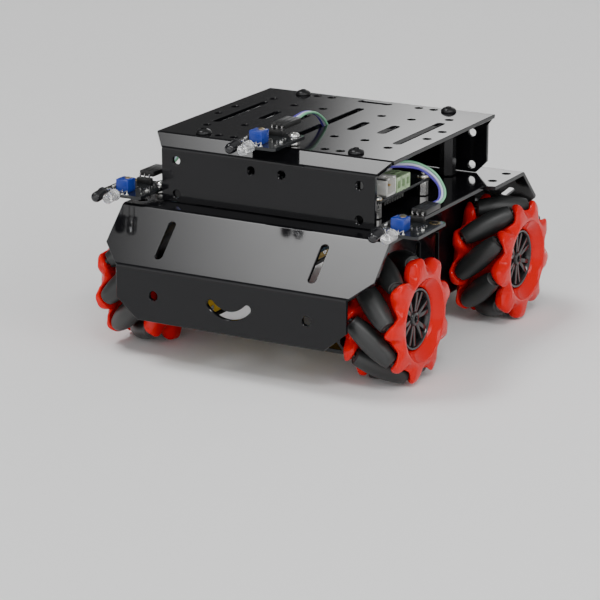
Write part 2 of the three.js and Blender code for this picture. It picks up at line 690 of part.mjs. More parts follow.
function addPillarsAndMotors() {
  for (const [end, ySide] of [["front", -1], ["rear", 1]]) {
    for (const [side, xSide] of [["left", -1], ["right", 1]]) {
      const pillar = addMesh(chassis, `deck_pillar_${end}_${side}`, deckPillar(), FINISHES.blackPillar());
      pillar.position.set(xSide * PILLAR_X, ySide * PILLAR_Y, 0);
      const motor = addMesh(chassis, `gear_motor_${end}_${side}`, gearMotor(), FINISHES.yellowCase());
      motor.position.set(xSide * MOTOR_X, 0, AXLE_Z);
      motor.rotation.z = ySide < 0 ? 0 : Math.PI;
    }
  }
}

// Rollers and body of one wheel, in the wheel's own group with +X pointing outwards.
function addWheel(place, outwards, ySide, lean, phaseDegrees) {
  const wheel = new THREE.Group();
  wheel.position.set(outwards * WHEEL_X, ySide * AXLE_Y, AXLE_Z);
  wheel.rotation.z = outwards > 0 ? 0 : Math.PI;
  chassis.add(wheel);
  const phase = THREE.MathUtils.degToRad(phaseDegrees);
  addMesh(wheel, `wheel_${place}`, wheelBody(lean, phase), FINISHES.redRim());
  for (let i = 0; i < ROLLER_COUNT; i += 1) {
    const arm = new THREE.Group();
    arm.rotation.x = -phase - (2 * Math.PI * i) / ROLLER_COUNT;
    wheel.add(arm);
    const roller = addMesh(arm, `roller_${place}_${i + 1}`, rollerBody(), FINISHES.rubber());
    roller.position.z = ROLLER_CENTRE;
    roller.rotation.z = (lean * Math.PI) / 4;
  }
}

function addSensors() {
  const side = SIDE_SENSOR_X;
  const right = addMesh(chassis, "sensor_right", sensorModule(-1), FINISHES.board());
  right.position.set(side, SENSOR_Y, PLATE_TOP);
  const left = addMesh(chassis, "sensor_left", sensorModule(1), FINISHES.board());
  left.position.set(-side, SENSOR_Y, PLATE_TOP);
  addMesh(chassis, "sensor_top", sensorModule(1), FINISHES.board()).position.set(0, SENSOR_Y, DECK_TOP);
  addMesh(chassis, "sensor_cable_right", cable(RIGHT_CABLE), FINISHES.cable());
  addMesh(chassis, "sensor_cable_left", cable(LEFT_CABLE), FINISHES.cable());
  addMesh(chassis, "sensor_cable_top", cable(TOP_CABLE), FINISHES.cable());
}

addFrame();
addPillarsAndMotors();
addMesh(chassis, "controller_board", controllerBoard(), FINISHES.board());
addMesh(chassis, "battery_pack", batteryPack(), FINISHES.battery());
addSensors();
addWheel("front_right", 1, -1, 1, 16.4);
addWheel("rear_right", 1, 1, -1, 1.6);
addWheel("front_left", -1, -1, -1, 1.6);
addWheel("rear_left", -1, 1, 1, 16.4);

export default chassis;
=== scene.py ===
"""Looks of a four-wheel robot chassis with roller wheels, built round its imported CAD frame.

Lengths below are millimetres in the frame's own axes, turned into metres where a mesh is made.
"""
import json
import math

import bmesh
import bpy
from mathutils import Matrix, Vector, geometry

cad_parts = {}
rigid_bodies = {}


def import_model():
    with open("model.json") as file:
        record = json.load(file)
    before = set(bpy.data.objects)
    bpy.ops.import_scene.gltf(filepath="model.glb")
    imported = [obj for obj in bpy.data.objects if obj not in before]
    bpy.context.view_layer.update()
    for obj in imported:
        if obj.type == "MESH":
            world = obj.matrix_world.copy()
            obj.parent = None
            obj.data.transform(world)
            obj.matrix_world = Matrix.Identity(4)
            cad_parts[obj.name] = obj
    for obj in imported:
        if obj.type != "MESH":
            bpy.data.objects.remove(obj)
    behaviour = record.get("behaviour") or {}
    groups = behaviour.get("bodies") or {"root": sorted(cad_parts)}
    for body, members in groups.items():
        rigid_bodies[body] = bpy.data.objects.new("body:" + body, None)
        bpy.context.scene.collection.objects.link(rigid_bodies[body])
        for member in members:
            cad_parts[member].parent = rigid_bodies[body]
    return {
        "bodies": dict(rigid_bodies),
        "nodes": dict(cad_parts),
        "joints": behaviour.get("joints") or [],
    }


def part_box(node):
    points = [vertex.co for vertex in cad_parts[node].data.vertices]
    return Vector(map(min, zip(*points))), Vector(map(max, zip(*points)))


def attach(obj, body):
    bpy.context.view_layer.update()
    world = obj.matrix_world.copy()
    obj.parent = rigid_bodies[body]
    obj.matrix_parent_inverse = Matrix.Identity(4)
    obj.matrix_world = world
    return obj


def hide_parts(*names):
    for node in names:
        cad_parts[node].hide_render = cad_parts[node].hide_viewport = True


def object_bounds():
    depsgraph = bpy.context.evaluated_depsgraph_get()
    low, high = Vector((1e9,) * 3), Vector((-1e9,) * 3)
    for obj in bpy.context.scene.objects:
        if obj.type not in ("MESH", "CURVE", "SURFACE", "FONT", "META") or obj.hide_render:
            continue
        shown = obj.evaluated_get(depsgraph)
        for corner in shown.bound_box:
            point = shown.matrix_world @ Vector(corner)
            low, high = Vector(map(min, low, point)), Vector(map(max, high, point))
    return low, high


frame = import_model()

CAD_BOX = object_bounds()
MM = 0.001
X, Y, Z = Vector((1, 0, 0)), Vector((0, 1, 0)), Vector((0, 0, 1))

SHEET = 2.0
SHEET_CHAMFER = 0.22
BEND_RADIUS = 3.0
SMALL_BEND = 2.6
BEND_STEPS = 8
ROOT_HALF = math.sqrt(0.5)

AXLE_Y = 56.0
ROLLER_COUNT = 9
ROLLER_HALF_LENGTH = 13.0
ROLLER_CENTRE = 24.5
WHEEL_RADIUS = 30.0
HALF_WIDTH = 15.0
LOBE_TIP = 29.3
NOTCH_RADIUS = 24.2
LOBE_DROP = 3.4
RIM_CREST = 20.4
POCKET_FLOOR = 7.6
POCKET_CEILING = 12.3
ROLLER_SLOPE = 7.5
ROLLER_END = 18.4
LOBE_SHIFT = math.radians(23.4)
HUB_RADIUS = 14.5
BARREL_RADIUS = 16.5


def corners_of(node):
    """Lowest and highest corner of a CAD node, in millimetres."""
    low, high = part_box(node)
    return low / MM, high / MM


PLATE_LOW, PLATE_HIGH = corners_of("main_plate")
DECK_LOW, DECK_HIGH = corners_of("top_deck")
PLATE_TOP = PLATE_HIGH.z
DECK_TOP = DECK_HIGH.z


# ---- Materials ----

def named_inputs(shader, values):
    for key, value in values.items():
        shader.inputs[key].default_value = value


def finish(name, color, roughness, mottle=0.12, grain=900.0, bump=0.02, **values):
    """A surface with slight colour mottle, uneven gloss and a fine moulded or rolled grain."""
    made = bpy.data.materials.new(name)
    made.use_nodes = True
    nodes, links = made.node_tree.nodes, made.node_tree.links
    shader = nodes["Principled BSDF"]
    named_inputs(shader, values)
    place = nodes.new("ShaderNodeTexCoord")
    cloud = nodes.new("ShaderNodeTexNoise")
    named_inputs(cloud, {"Scale": 60.0, "Detail": 3.0})
    fine = nodes.new("ShaderNodeTexNoise")
    named_inputs(fine, {"Scale": grain, "Detail": 4.0})
    shade = nodes.new("ShaderNodeMix")
    shade.data_type = "RGBA"
    shade.inputs["A"].default_value = (*[c * (1 - mottle) for c in color], 1)
    shade.inputs["B"].default_value = (*[min(1, c * (1 + mottle)) for c in color], 1)
    gloss = nodes.new("ShaderNodeMapRange")
    named_inputs(gloss, {"To Min": roughness * 0.85, "To Max": roughness * 1.2})
    relief = nodes.new("ShaderNodeBump")
    named_inputs(relief, {"Strength": bump, "Distance": 0.0002})
    links.new(place.outputs["Object"], cloud.inputs["Vector"])
    links.new(place.outputs["Object"], fine.inputs["Vector"])
    links.new(cloud.outputs["Fac"], shade.inputs["Factor"])
    links.new(shade.outputs["Result"], shader.inputs["Base Color"])
    links.new(cloud.outputs["Fac"], gloss.inputs["Value"])
    links.new(gloss.outputs["Result"], shader.inputs["Roughness"])
    links.new(fine.outputs["Fac"], relief.inputs["Height"])
    links.new(relief.outputs["Normal"], shader.inputs["Normal"])
    return made


M = {
    "sheet": finish("gloss_black_sheet", (0.005, 0.005, 0.006), 0.1, bump=0.004, IOR=1.38),
    "screw": finish("black_screw", (0.02, 0.02, 0.021), 0.3, Metallic=0.6),
    "pillar": finish("black_pillar", (0.014, 0.014, 0.015), 0.2, Metallic=0.3),
    "red": finish("red_rim", (0.62, 0.003, 0.002), 0.09, mottle=0.05, bump=0.008, IOR=1.32),
    "hub": finish("black_hub", (0.012, 0.012, 0.013), 0.17, bump=0.01),
    "rubber": finish("roller_rubber", (0.017, 0.018, 0.018), 0.42, grain=1800.0, bump=0.1),
    # Lighter grey on the roller end plugs: painted highlight standing for the light edge at the roller
    # ends.
    "lip": finish("roller_end_painted_highlight", (0.06, 0.062, 0.062), 0.3),
    "nickel": finish("nickel", (0.8, 0.79, 0.77), 0.16, mottle=0.04, Metallic=1.0),
    "steel": finish("steel_can", (0.6, 0.6, 0.59), 0.3, mottle=0.05, Metallic=1.0),
    "gold": finish("gold_pin", (0.83, 0.6, 0.27), 0.22, mottle=0.05, Metallic=1.0),
    "brass": finish("brass_screw", (0.78, 0.6, 0.3), 0.3, mottle=0.06, Metallic=1.0),
    "yellow": finish("yellow_case", (0.82, 0.52, 0.012), 0.4, mottle=0.05, bump=0.06),
    "board": finish("black_board", (0.012, 0.0135, 0.015), 0.13, bump=0.03),
    "solder": finish("solder", (0.72, 0.72, 0.7), 0.3, Metallic=1.0),
    # Dark chip bodies; the same dark also serves as painted shade in the socket cavity, the terminal
    # mouths and the screw slots.
    "chip": finish("chip_body_and_painted_shade", (0.022, 0.022, 0.023), 0.5, bump=0.08),
    "black": finish("black_connector", (0.014, 0.014, 0.014), 0.36, bump=0.05),
    "white": finish("white_connector", (0.8, 0.8, 0.76), 0.36, mottle=0.03, bump=0.03),
    "green": finish("green_terminal", (0.5, 0.68, 0.4), 0.4, mottle=0.04, bump=0.04),
    "blue": finish("blue_trimmer", (0.008, 0.035, 0.3), 0.26, mottle=0.05, bump=0.03),
    "cell": finish("cell_wrap", (0.02, 0.12, 0.22), 0.3, mottle=0.06),
    "purple": finish("purple_wire", (0.09, 0.06, 0.42), 0.42, mottle=0.06, bump=0.04),
    "lilac": finish("lilac_wire", (0.62, 0.6, 0.8), 0.42, mottle=0.05, bump=0.04),
    "leaf": finish("green_wire", (0.2, 0.5, 0.3), 0.42, mottle=0.06, bump=0.04),
    "dark_led": finish("dark_diode", (0.006, 0.006, 0.008), 0.08, bump=0.004, IOR=1.55),
    "clear_led": finish("clear_diode", (0.93, 0.94, 0.95), 0.05, mottle=0.01, bump=0.004,
                        IOR=1.5, **{"Transmission Weight": 0.85}),
}


# ---- Mesh tools ----

def full_turn(count):
    return [2 * math.pi * i / count for i in range(count)]


def points_on_arc(cx, cy, radius, start, end, steps):
    angles = [start + (end - start) * i / steps for i in range(steps + 1)]
    return [(cx + radius * math.cos(a), cy + radius * math.sin(a)) for a in angles]


def round_hole(x, y, radius, sides=28):
    return points_on_arc(x, y, radius, 0, 2 * math.pi, sides)[1:]


def slot_hole(start, end, width=4.0, steps=10):
    heading = math.atan2(end[1] - start[1], end[0] - start[0])
    quarter = math.pi / 2
    return (points_on_arc(*end, width / 2, heading - quarter, heading + quarter, steps)
            + points_on_arc(*start, width / 2, heading + quarter, heading + 3 * quarter, steps))


def mirrored(right_side):
    return right_side + [(-x, y) for x, y in reversed(right_side)]


class Assembled:
    """Several closed forms gathered into one piece, each with its own finish.

    box, turned and rod pass what follows the finish to box_form, turned_form and rod_form.
    """

    def __init__(self):
        self.bm = bmesh.new()
        self.finishes = []

    def take(self, form, finish_key, where=Matrix.Identity(4)):
        """Adds a bmesh, moved by a matrix; the form is used up."""
        if finish_key not in self.finishes:
            self.finishes.append(finish_key)
        index = self.finishes.index(finish_key)
        form.transform(where)
        for face in form.faces:
            face.material_index = index
            face.smooth = True
        bmesh.ops.recalc_face_normals(form, faces=form.faces)
        scrap = bpy.data.meshes.new("scrap")
        form.to_mesh(scrap)
        form.free()
        self.bm.from_mesh(scrap)
        bpy.data.meshes.remove(scrap)
        return self

    def box(self, finish_key, *shape):
        self.take(box_form(*shape), finish_key)

    def turned(self, finish_key, *shape):
        self.take(turned_form(*shape), finish_key)

    def rod(self, finish_key, *shape):
        self.take(rod_form(*shape), finish_key)

    def mesh(self, name, crease=math.radians(38)):
        for edge in self.bm.edges:
            if len(edge.link_faces) == 2 and edge.calc_face_angle(0) > crease:
                edge.smooth = False
        self.bm.transform(Matrix.Scale(MM, 4))
        made = bpy.data.meshes.new(name)
        self.bm.to_mesh(made)
        self.bm.free()
        for key in self.finishes:
            made.materials.append(M[key])
        return made


def add_object(name, data):
    made = bpy.data.objects.new(name, data)
    bpy.context.scene.collection.objects.link(made)
    return made


def place_piece(name, mesh, node, matrix=None, body="chassis"):
    """Puts a mesh in the scene, riding on a body and standing for a CAD node."""
    if matrix is not None:
        mesh = mesh.copy()
        mesh.transform(matrix)
        if matrix.is_negative:
            mesh.flip_normals()
    piece = add_object(name, mesh)
    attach(piece, body)
    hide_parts(node)
    return piece


def box_form(low, high, bevel=0.25, segments=2):
    form = bmesh.new()
    size = [h - l for l, h in zip(low, high)]
    centre = [(h + l) / 2 for l, h in zip(low, high)]
    matrix = Matrix.Translation(centre) @ Matrix.Diagonal((*size, 1))
    bmesh.ops.create_cube(form, size=1, matrix=matrix)
    reach = min(bevel, 0.3 * min(size))
    bmesh.ops.bevel(form, geom=form.edges[:], offset=reach, segments=segments, profile=0.5,
                    affect="EDGES", clamp_overlap=True)
    return form


def skin(form, rings, closed=False):
    """Faces from each ring of vertices to the next; a ring of one vertex is a pole."""
    for low, high in zip(rings, rings[1:] + rings[:closed]):
        count = max(len(low), len(high))
        for i in range(count):
            j = (i + 1) % count
            corners = [low[i % len(low)], low[j % len(low)], high[j % len(high)], high[i % len(high)]]
            unique = list(dict.fromkeys(corners))
            if len(unique) > 2:
                form.faces.new(unique)


def turned_form(profile, segments=32, start=(0, 0, 0), along=Z, closed=False):
    """A form turned about an axis through start, with a profile of (radius, distance) points.

    A closed profile runs back to its first point, as a ring's does, and needs no end faces.
    """
    form = bmesh.new()
    rings = []
    for radius, distance in profile:
        angles = full_turn(segments) if radius else [0]
        rings.append([form.verts.new((radius * math.cos(a), radius * math.sin(a), distance))
                      for a in angles])
    skin(form, rings, closed)
    for ring in (rings[0], rings[-1]):
        if len(ring) > 2 and not closed:
            form.faces.new(ring)
    turn = Vector(along).to_track_quat("Z", "Y").to_matrix().to_4x4()
    form.transform(Matrix.Translation(start) @ turn)
    return form


def rod_form(start, end, radius, edge=0.2, segments=24):
    start, end = Vector(start), Vector(end)
    long = (end - start).length
    edge = min(edge, radius * 0.5, long * 0.3)
    profile = [(0, 0), (radius - edge, 0), (radius - 0.3 * edge, 0.3 * edge), (radius, edge),
               (radius, long - edge), (radius - 0.3 * edge, long - 0.3 * edge),
               (radius - edge, long), (0, long)]
    return turned_form(profile, segments, start, end - start)


def extruded_form(outline, depth, chamfer=0.2, holes=()):
    """A flat outline in X and Y, thickened from Z = 0 upwards, its edges chamfered."""
    return sheet_form(outline, holes, [], depth, chamfer, lambda a, s, d: (a, s, depth - d))


# ---- Sheets that are cut flat and then bent ----

def with_cuts(loop, cuts):
    """The loop with extra points where it crosses each line s = cut."""
    made = []
    for (ax, ay), (bx, by) in zip(loop, loop[1:] + loop[:1]):
        made.append((ax, ay))
        between = [c for c in cuts if min(ay, by) + 1e-6 < c < max(ay, by) - 1e-6]
        for c in sorted(between, reverse=by < ay):
            share = (c - ay) / (by - ay)
            made.append((ax + (bx - ax) * share, c))
    return made


def signed_area(loop):
    return sum(a[0] * b[1] - b[0] * a[1] for a, b in zip(loop, loop[1:] + loop[:1])) / 2


def shrunk(loop, amount, cuts):
    """The loop moved into the material by amount; points on a bend line stay on it."""
    made = []
    count = len(loop)
    for i, (x, y) in enumerate(loop):
        before = Vector((x - loop[i - 1][0], y - loop[i - 1][1])).normalized()
        after = Vector((loop[(i + 1) % count][0] - x, loop[(i + 1) % count][1] - y)).normalized()
        normal = Vector((-before.y, before.x))
        both = normal + Vector((-after.y, after.x))
        if any(abs(y - c) < 1e-6 for c in cuts) and abs(normal.x) > 0.2:
            made.append((x + amount / normal.x, y))
        else:
            step = both.normalized() * (amount / max(0.35, both.length / 2))
            made.append((x + step.x, y + step.y))
    return made


def sheet_form(outline, holes, cuts, thickness, chamfer, place):
    """A closed sheet with chamfered edges. place turns (across, along, depth) into a point."""
    loops = [with_cuts(list(outline), cuts)] + [list(h) for h in holes]
    if signed_area(loops[0]) < 0:
        loops[0].reverse()
    for hole in loops[1:]:
        if signed_area(hole) > 0:
            hole.reverse()
    faces_at = [shrunk(loop, chamfer, cuts) for loop in loops]
    flat = bmesh.new()
    spots = [Vector((x, s, 0)) for loop in faces_at for x, s in loop]
    verts = [flat.verts.new(p) for p in spots]
    triangles = geometry.tessellate_polygon([[Vector((x, s, 0)) for x, s in loop] for loop in faces_at])
    for triangle in triangles:
        flat.faces.new([verts[i] for i in triangle])
    for cut in cuts:
        whole = flat.verts[:] + flat.edges[:] + flat.faces[:]
        bmesh.ops.bisect_plane(flat, geom=whole, dist=1e-4, plane_co=(0, cut, 0), plane_no=(0, 1, 0))
    form = bmesh.new()
    for depth in (0, thickness):
        copies = {v: form.verts.new((v.co.x, v.co.y, depth)) for v in flat.verts}
        for face in flat.faces:
            form.faces.new([copies[v] for v in face.verts])
    flat.free()
    for outer, inner in zip(loops, faces_at):
        levels = [(inner, 0), (outer, chamfer), (outer, thickness - chamfer), (inner, thickness)]
        skin(form, [[form.verts.new((x, s, depth)) for x, s in loop] for loop, depth in levels])
    bmesh.ops.remove_doubles(form, verts=form.verts, dist=2e-4)
    for vert in form.verts:
        vert.co = place(*vert.co)
    return form


class Bends:
    """The outer line of a bent sheet with rounded corners; s is measured from its middle."""

    def __init__(self, corners, radius=BEND_RADIUS):
        self.corners = [Vector(c) for c in corners]
        self.radius = radius
        lengths = [(b - a).length for a, b in zip(self.corners, self.corners[1:])]
        self.marks = [-sum(lengths) / 2]
        for length in lengths:
            self.marks.append(self.marks[-1] + length)

    def heading(self, i):
        return (self.corners[i + 1] - self.corners[i]).normalized()

    def turn(self, i):
        """Half the bend angle at corner i and how far the bend reaches along each side."""
        half = self.heading(i - 1).angle(self.heading(i)) / 2
        return half, self.radius * math.tan(half)

    def cuts(self):
        found = []
        for i in range(1, len(self.corners) - 1):
            reach = self.turn(i)[1]
            found += [self.marks[i] + reach * (2 * k / BEND_STEPS - 1) for k in range(BEND_STEPS + 1)]
        return found

    def at(self, s, depth):
        """The point at s, that deep under the outer face."""
        for i in range(1, len(self.corners) - 1):
            half, reach = self.turn(i)
            if abs(s - self.marks[i]) <= reach:
                before = self.heading(i - 1)
                normal = Vector((-before.y, before.x))
                centre = self.corners[i] - before * reach - normal * self.radius
                angle = -half * ((s - self.marks[i]) / reach + 1)
                swung = Vector((normal.x * math.cos(angle) - normal.y * math.sin(angle),
                                normal.x * math.sin(angle) + normal.y * math.cos(angle)))
                return centre + swung * (self.radius - depth)
        i = max(k for k in range(len(self.corners) - 1) if k == 0 or s >= self.marks[k])
        along = self.heading(i)
        return self.corners[i] + along * (s - self.marks[i]) - Vector((-along.y, along.x)) * depth


def place_sheet(name, node, right_side, holes, bends, to_point=lambda a, u, v: (a, u, v)):
    """Bends a sheet and puts it in the scene, with its big flat faces kept flat by its shading.

    to_point turns (across, u, v) into a point of the frame, with u and v in the bends' plane.
    """
    form = sheet_form(mirrored(right_side), holes, bends.cuts(), SHEET, SHEET_CHAMFER,
                      lambda a, s, d: to_point(a, *bends.at(s, d)))
    sheet = place_piece(name, Assembled().take(form, "sheet").mesh(name), node)
    weighted = sheet.modifiers.new("even_shading", "WEIGHTED_NORMAL")
    weighted.keep_sharp = True
    weighted.weight = 80


GRID_HOLE = 2.0


def four_ways(x, y, radius=GRID_HOLE):
    return [round_hole(sx * x, sy * y, radius) for sx in (-1, 1) for sy in (-1, 1)]


def two_sides(x, y, radius=GRID_HOLE):
    return [round_hole(sx * x, y, radius) for sx in (-1, 1)]


PLATE_FLAT = 72.0
SLOPE_LENGTH = 32.3
FACE_TOP_S = PLATE_FLAT + SLOPE_LENGTH
FACE_HEIGHT = 25.1
PLATE_FOOT_S = FACE_TOP_S + FACE_HEIGHT
PLATE_HALF, WAIST_HALF, FACE_HALF, FOOT_HALF = 70.0, 64.6, 60.0, 48.75
WAIST_END = 37.0
SLOPE_SIDE = 21.5
FACE_SIDE = 15.7
SCREW_HOLE = 2.1
MOUNT_X, MOUNT_HOLE = 40.0, 2.25


def smile_hole(middle_s, radius, half_angle, width, steps=16):
    """Arc-shaped slot of even width with round ends."""
    def round_end(angle, first):
        middle = (radius * math.cos(angle), radius * math.sin(angle))
        return points_on_arc(*middle, width / 2, first, first + math.pi, steps // 2)[1:-1]
    start, end = math.pi / 2 - half_angle, math.pi / 2 + half_angle
    outline = points_on_arc(0, 0, radius + width / 2, start, end, steps) + round_end(end, end)
    outline += points_on_arc(0, 0, radius - width / 2, end, start, steps)
    outline += round_end(start, start + math.pi)
    return [(x, middle_s - y) for x, y in outline]


def main_plate():
    high_y = PLATE_HIGH.y
    slope_foot_z = PLATE_LOW.z + FACE_HEIGHT
    line = Bends([(-high_y, PLATE_LOW.z), (-high_y, slope_foot_z), (-PLATE_FLAT, PLATE_TOP),
                  (PLATE_FLAT, PLATE_TOP), (high_y, slope_foot_z), (high_y, PLATE_LOW.z)])
    half = [(FOOT_HALF, PLATE_FOOT_S), (FACE_HALF, FACE_TOP_S + FACE_SIDE), (FACE_HALF, FACE_TOP_S),
            (PLATE_HALF, PLATE_FLAT + SLOPE_SIDE), (PLATE_HALF, WAIST_END + 1.6),
            (WAIST_HALF, WAIST_END)]
    right = [(x, -s) for x, s in half] + half[::-1]
    holes = four_ways(64, 64, SCREW_HOLE)
    for s in (48, -48):
        holes += two_sides(64, s, SCREW_HOLE)
    holes += [slot_hole((x, -14), (x, 14)) for x in (-24, 24)]
    for end in (-1, 1):
        holes += two_sides(MOUNT_X, end * (FACE_TOP_S + 12.5), MOUNT_HOLE)
    for x in (-MOUNT_X, MOUNT_X):
        holes.append(slot_hole((x, -PLATE_FLAT - 24.4), (x, -PLATE_FLAT - 8.2)))
    for side in (-1, 1):
        inner, outer = (side * 51.5, PLATE_FLAT + 24), (side * 59.2, PLATE_FLAT + 15.6)
        holes.append(slot_hole(inner, outer, 3))
    holes.append(smile_hole(-FACE_TOP_S - 3.3, 12.7, math.radians(49), 4))
    place_sheet("main_plate_sheet", "main_plate", right, holes, line)


DECK_FLAT = 54.0
DECK_FLANGE = 6.0


def top_deck():
    low, high = DECK_LOW, DECK_HIGH
    flange_z = high.z - DECK_FLANGE
    line = Bends([(low.y, low.z), (low.y, flange_z), (-DECK_FLAT, high.z),
                  (DECK_FLAT, high.z), (high.y, flange_z), (high.y, low.z)], SMALL_BEND)
    wide, narrow = high.x, high.x - DECK_FLANGE
    fold = DECK_FLAT + DECK_FLANGE / ROOT_HALF
    foot = fold + flange_z - low.z
    right = [(narrow - 0.5, -foot), (narrow, -foot + 0.5), (narrow, -fold), (wide, -DECK_FLAT),
             (wide, DECK_FLAT), (narrow, fold), (narrow, foot - 6), (narrow - 6, foot)]
    holes = []
    for x, y in ((16, 24), (32, 24), (24, 48), (32, 48), (48, 32), (56, 8)):
        holes += four_ways(x, y)
    holes.append(slot_hole((-7, 48), (7, 48)))
    holes.append(slot_hole((0, -32), (0, 32)))
    holes += [slot_hole((x, -22.5), (x, 22.5)) for x in (-48, 48)]
    holes += [slot_hole((x, -7), (x, 7)) for x in (-32, -16, 16, 32)]
    upper_row, lower_row = 5.5, 21.5
    for drop in (upper_row, lower_row):
        holes += two_sides(48, -fold - drop) + two_sides(48, fold + drop)
    holes += two_sides(8, -fold - upper_row)
    place_sheet("deck_sheet", "top_deck", right, holes, line)


def motor_rails():
    for side, sign in (("right", 1), ("left", -1)):
        node = f"motor_rail_{side}"
        low, high = corners_of(node)
        outer, inner = max(abs(low.x), abs(high.x)), min(abs(low.x), abs(high.x))
        line = Bends([(inner, high.z), (outer, high.z), (outer, low.z), (inner, low.z)], SMALL_BEND)
        web, flange, end, notch = (high.z - low.z) / 2, outer - inner, high.y, 8.0
        right = [(end - notch, -web - flange), (end - notch, -web), (end, -web + notch),
                 (end, web - notch), (end - notch, web), (end - notch, web + flange)]
        middle = (high.z + low.z) / 2
        axle_s = middle - WHEEL_RADIUS
        holes = two_sides(AXLE_Y, axle_s, 4)
        holes += [round_hole(sx * (AXLE_Y + dx), axle_s + ds, 1.6)
                  for sx in (-1, 1) for dx in (-9, 9) for ds in (-8, 8)]
        holes += [slot_hole((a, -7), (a, 7)) for a in (-20, 0, 20)]
        place_sheet(node + "_sheet", node, right, holes, line, lambda a, u, v: (sign * u, a, v))


# ---- Pillars, motors, battery ----

def button_head(radius, height, socket_radius):
    """Profile of a domed screw head with its socket, from its seat upwards."""
    dome = [(radius * math.cos(a), 0.25 + (height - 0.25) * math.sin(a))
            for a in [math.pi / 2 * i / 8 for i in range(7)]]
    rim = [(0, 0), (radius - 0.1, 0), (radius, 0.12)]
    socket = [(socket_radius, height), (socket_radius * 0.92, height * 0.35), (0, height * 0.3)]
    return rim + dome + socket


def hexagon(across_corners):
    return points_on_arc(0, 0, across_corners, math.pi / 6, math.pi * 13 / 6, 6)[1:]


def deck_pillars():
    for node in [n for n in frame["nodes"] if n.startswith("deck_pillar")]:
        low, high = corners_of(node)
        x, y = (low.x + high.x) / 2, (low.y + high.y) / 2
        gap, post_corner, stem_radius = 0.1, 4.0, 1.9
        seat = DECK_TOP + gap
        head = button_head(3.75, high.z - seat, 1.35)
        foot = Matrix.Translation((x, y, low.z))
        length = DECK_TOP - SHEET - gap - low.z
        made = Assembled()
        made.take(extruded_form(hexagon(post_corner), length, 0.35), "pillar", foot)
        made.turned("screw", head, 32, (x, y, seat))
        made.rod("screw", (x, y, DECK_TOP - SHEET - 1), (x, y, seat + 0.4), stem_radius)
        made.turned("screw", button_head(3.4, 1.8, 1.2), 28, (x, y, PLATE_TOP - SHEET - gap), -Z)
        name = node + "_with_screw"
        place_piece(name, made.mesh(name), node)


def gear_motor_mesh(name):
    """Right-angle gear motor in the CAD node's local frame: nose towards -Y, shaft along X."""
    made = Assembled()
    half_width, half_height, nose, gearbox_end, tail = 9.4, 11.2, -67.5, -30.5, -3.0
    cut, seam, can_radius, can_length, can_end, cap_end = 1.5, 0.15, 10, 20, 9.5, 4.3
    side = [(nose + cut, -half_height), (gearbox_end, -half_height), (gearbox_end, half_height),
            (nose + cut, half_height), (nose, half_height - cut), (nose, -half_height + cut)]
    turn = Matrix(((0, 0, 1, 0), (1, 0, 0, 0), (0, 1, 0, 0), (0, 0, 0, 1)))
    for start in (-half_width, seam):
        shell = extruded_form(side, half_width - seam, 0.7)
        made.take(shell, "yellow", Matrix.Translation((start, 0, 0)) @ turn)
    inner = [(a * 0.97 - 1.4, b * 0.94) for a, b in side]
    made.take(extruded_form(inner, 1.2, 0.2), "yellow", Matrix.Translation((-0.6, 0, 0)) @ turn)
    for y in (nose + 4, -47, gearbox_end - 3.5):
        for z in (-8.2, 8.2):
            made.turned("nickel", button_head(1.5, 0.3, 0.6), 16, (-half_width + 0.02, y, z), -X)
    plug = [(0, 0), (4, 0), (4, 0.25), (0, 0.25)]
    made.turned("black", plug, 24, (-half_width + 0.05, -AXLE_Y, 0), -X)
    flat = math.acos(0.75)
    can = (points_on_arc(0, 0, can_radius, flat, math.pi - flat, 12)
           + points_on_arc(0, 0, can_radius, math.pi + flat, 2 * math.pi - flat, 12))
    stand = Matrix(((1, 0, 0, 0), (0, 0, -1, 0), (0, 1, 0, 0), (0, 0, 0, 1)))
    at_end = Matrix.Translation((0, -can_end, 0)) @ stand
    made.take(extruded_form(can, can_length, 0.5), "steel", at_end)
    cap = [(x * 0.97, y * 0.97) for x, y in can]
    made.take(extruded_form(cap, 5.2, 0.4), "white", Matrix.Translation((0, -cap_end, 0)) @ stand)
    made.rod("white", (0, -cap_end - 0.3, 0), (0, tail, 0), 3.2)
    for z in (-6.5, 6.5):
        made.box("gold", (-1.4, -cap_end - 0.1, z - 0.4), (1.4, tail - 0.2, z + 0.4), 0.1)
    return made.mesh(name)


def gear_motors():
    mesh = gear_motor_mesh("gear_motor_body")
    for node in [n for n in frame["nodes"] if n.startswith("gear_motor")]:
        low, high = corners_of(node)
        x, z = (low.x + high.x) / 2, (low.z + high.z) / 2
        turned = high.y + low.y > 0
        flip = Matrix.Rotation(math.pi, 4, "Z") if turned else Matrix.Identity(4)
        face_in = Matrix.Identity(4) if (x > 0) != turned else Matrix.Scale(-1, 4, X)
        place = Matrix.Translation(Vector((x, 0, z)) * MM) @ flip @ face_in
        place_piece(node + "_case", mesh, node, place)


def battery():
    low, high = corners_of("battery_pack")
    made = Assembled()
    wall, floor_z, cell_radius = 1.6, high.z - 11, 9.6
    made.box("black", (low.x, low.y, high.z - 2.2), (high.x, high.y, high.z), 0.5)
    for x in (low.x, high.x - wall):
        made.box("black", (x, low.y, floor_z), (x + wall, high.y, high.z - 1), 0.4)
    for y in (low.y, high.y - wall):
        made.box("black", (low.x, y, floor_z), (high.x, y + wall, high.z - 1), 0.4)
    z = low.z + cell_radius
    strap, edge = cell_radius - 0.05, cell_radius - 0.4
    strap_profile = [(0, -3.2), (edge, -3.2), (strap, -3), (strap, 3), (edge, 3.2), (0, 3.2)]
    for side in (-1, 1):
        x = side * (cell_radius + 0.6)
        made.rod("cell", (x, low.y + 3, z), (x, high.y - 3, z), cell_radius - 0.3, 0.8, 40)
        made.rod("nickel", (x, low.y + 2, z), (x, low.y + 3.2, z), 3.2, 0.3)
        for y in (-22, 22):
            made.turned("black", strap_profile, 40, (x, y, z), Y)
    name = "battery_tray_and_cells"
    place_piece(name, made.mesh(name), "battery_pack")


# ---- Wheels ----

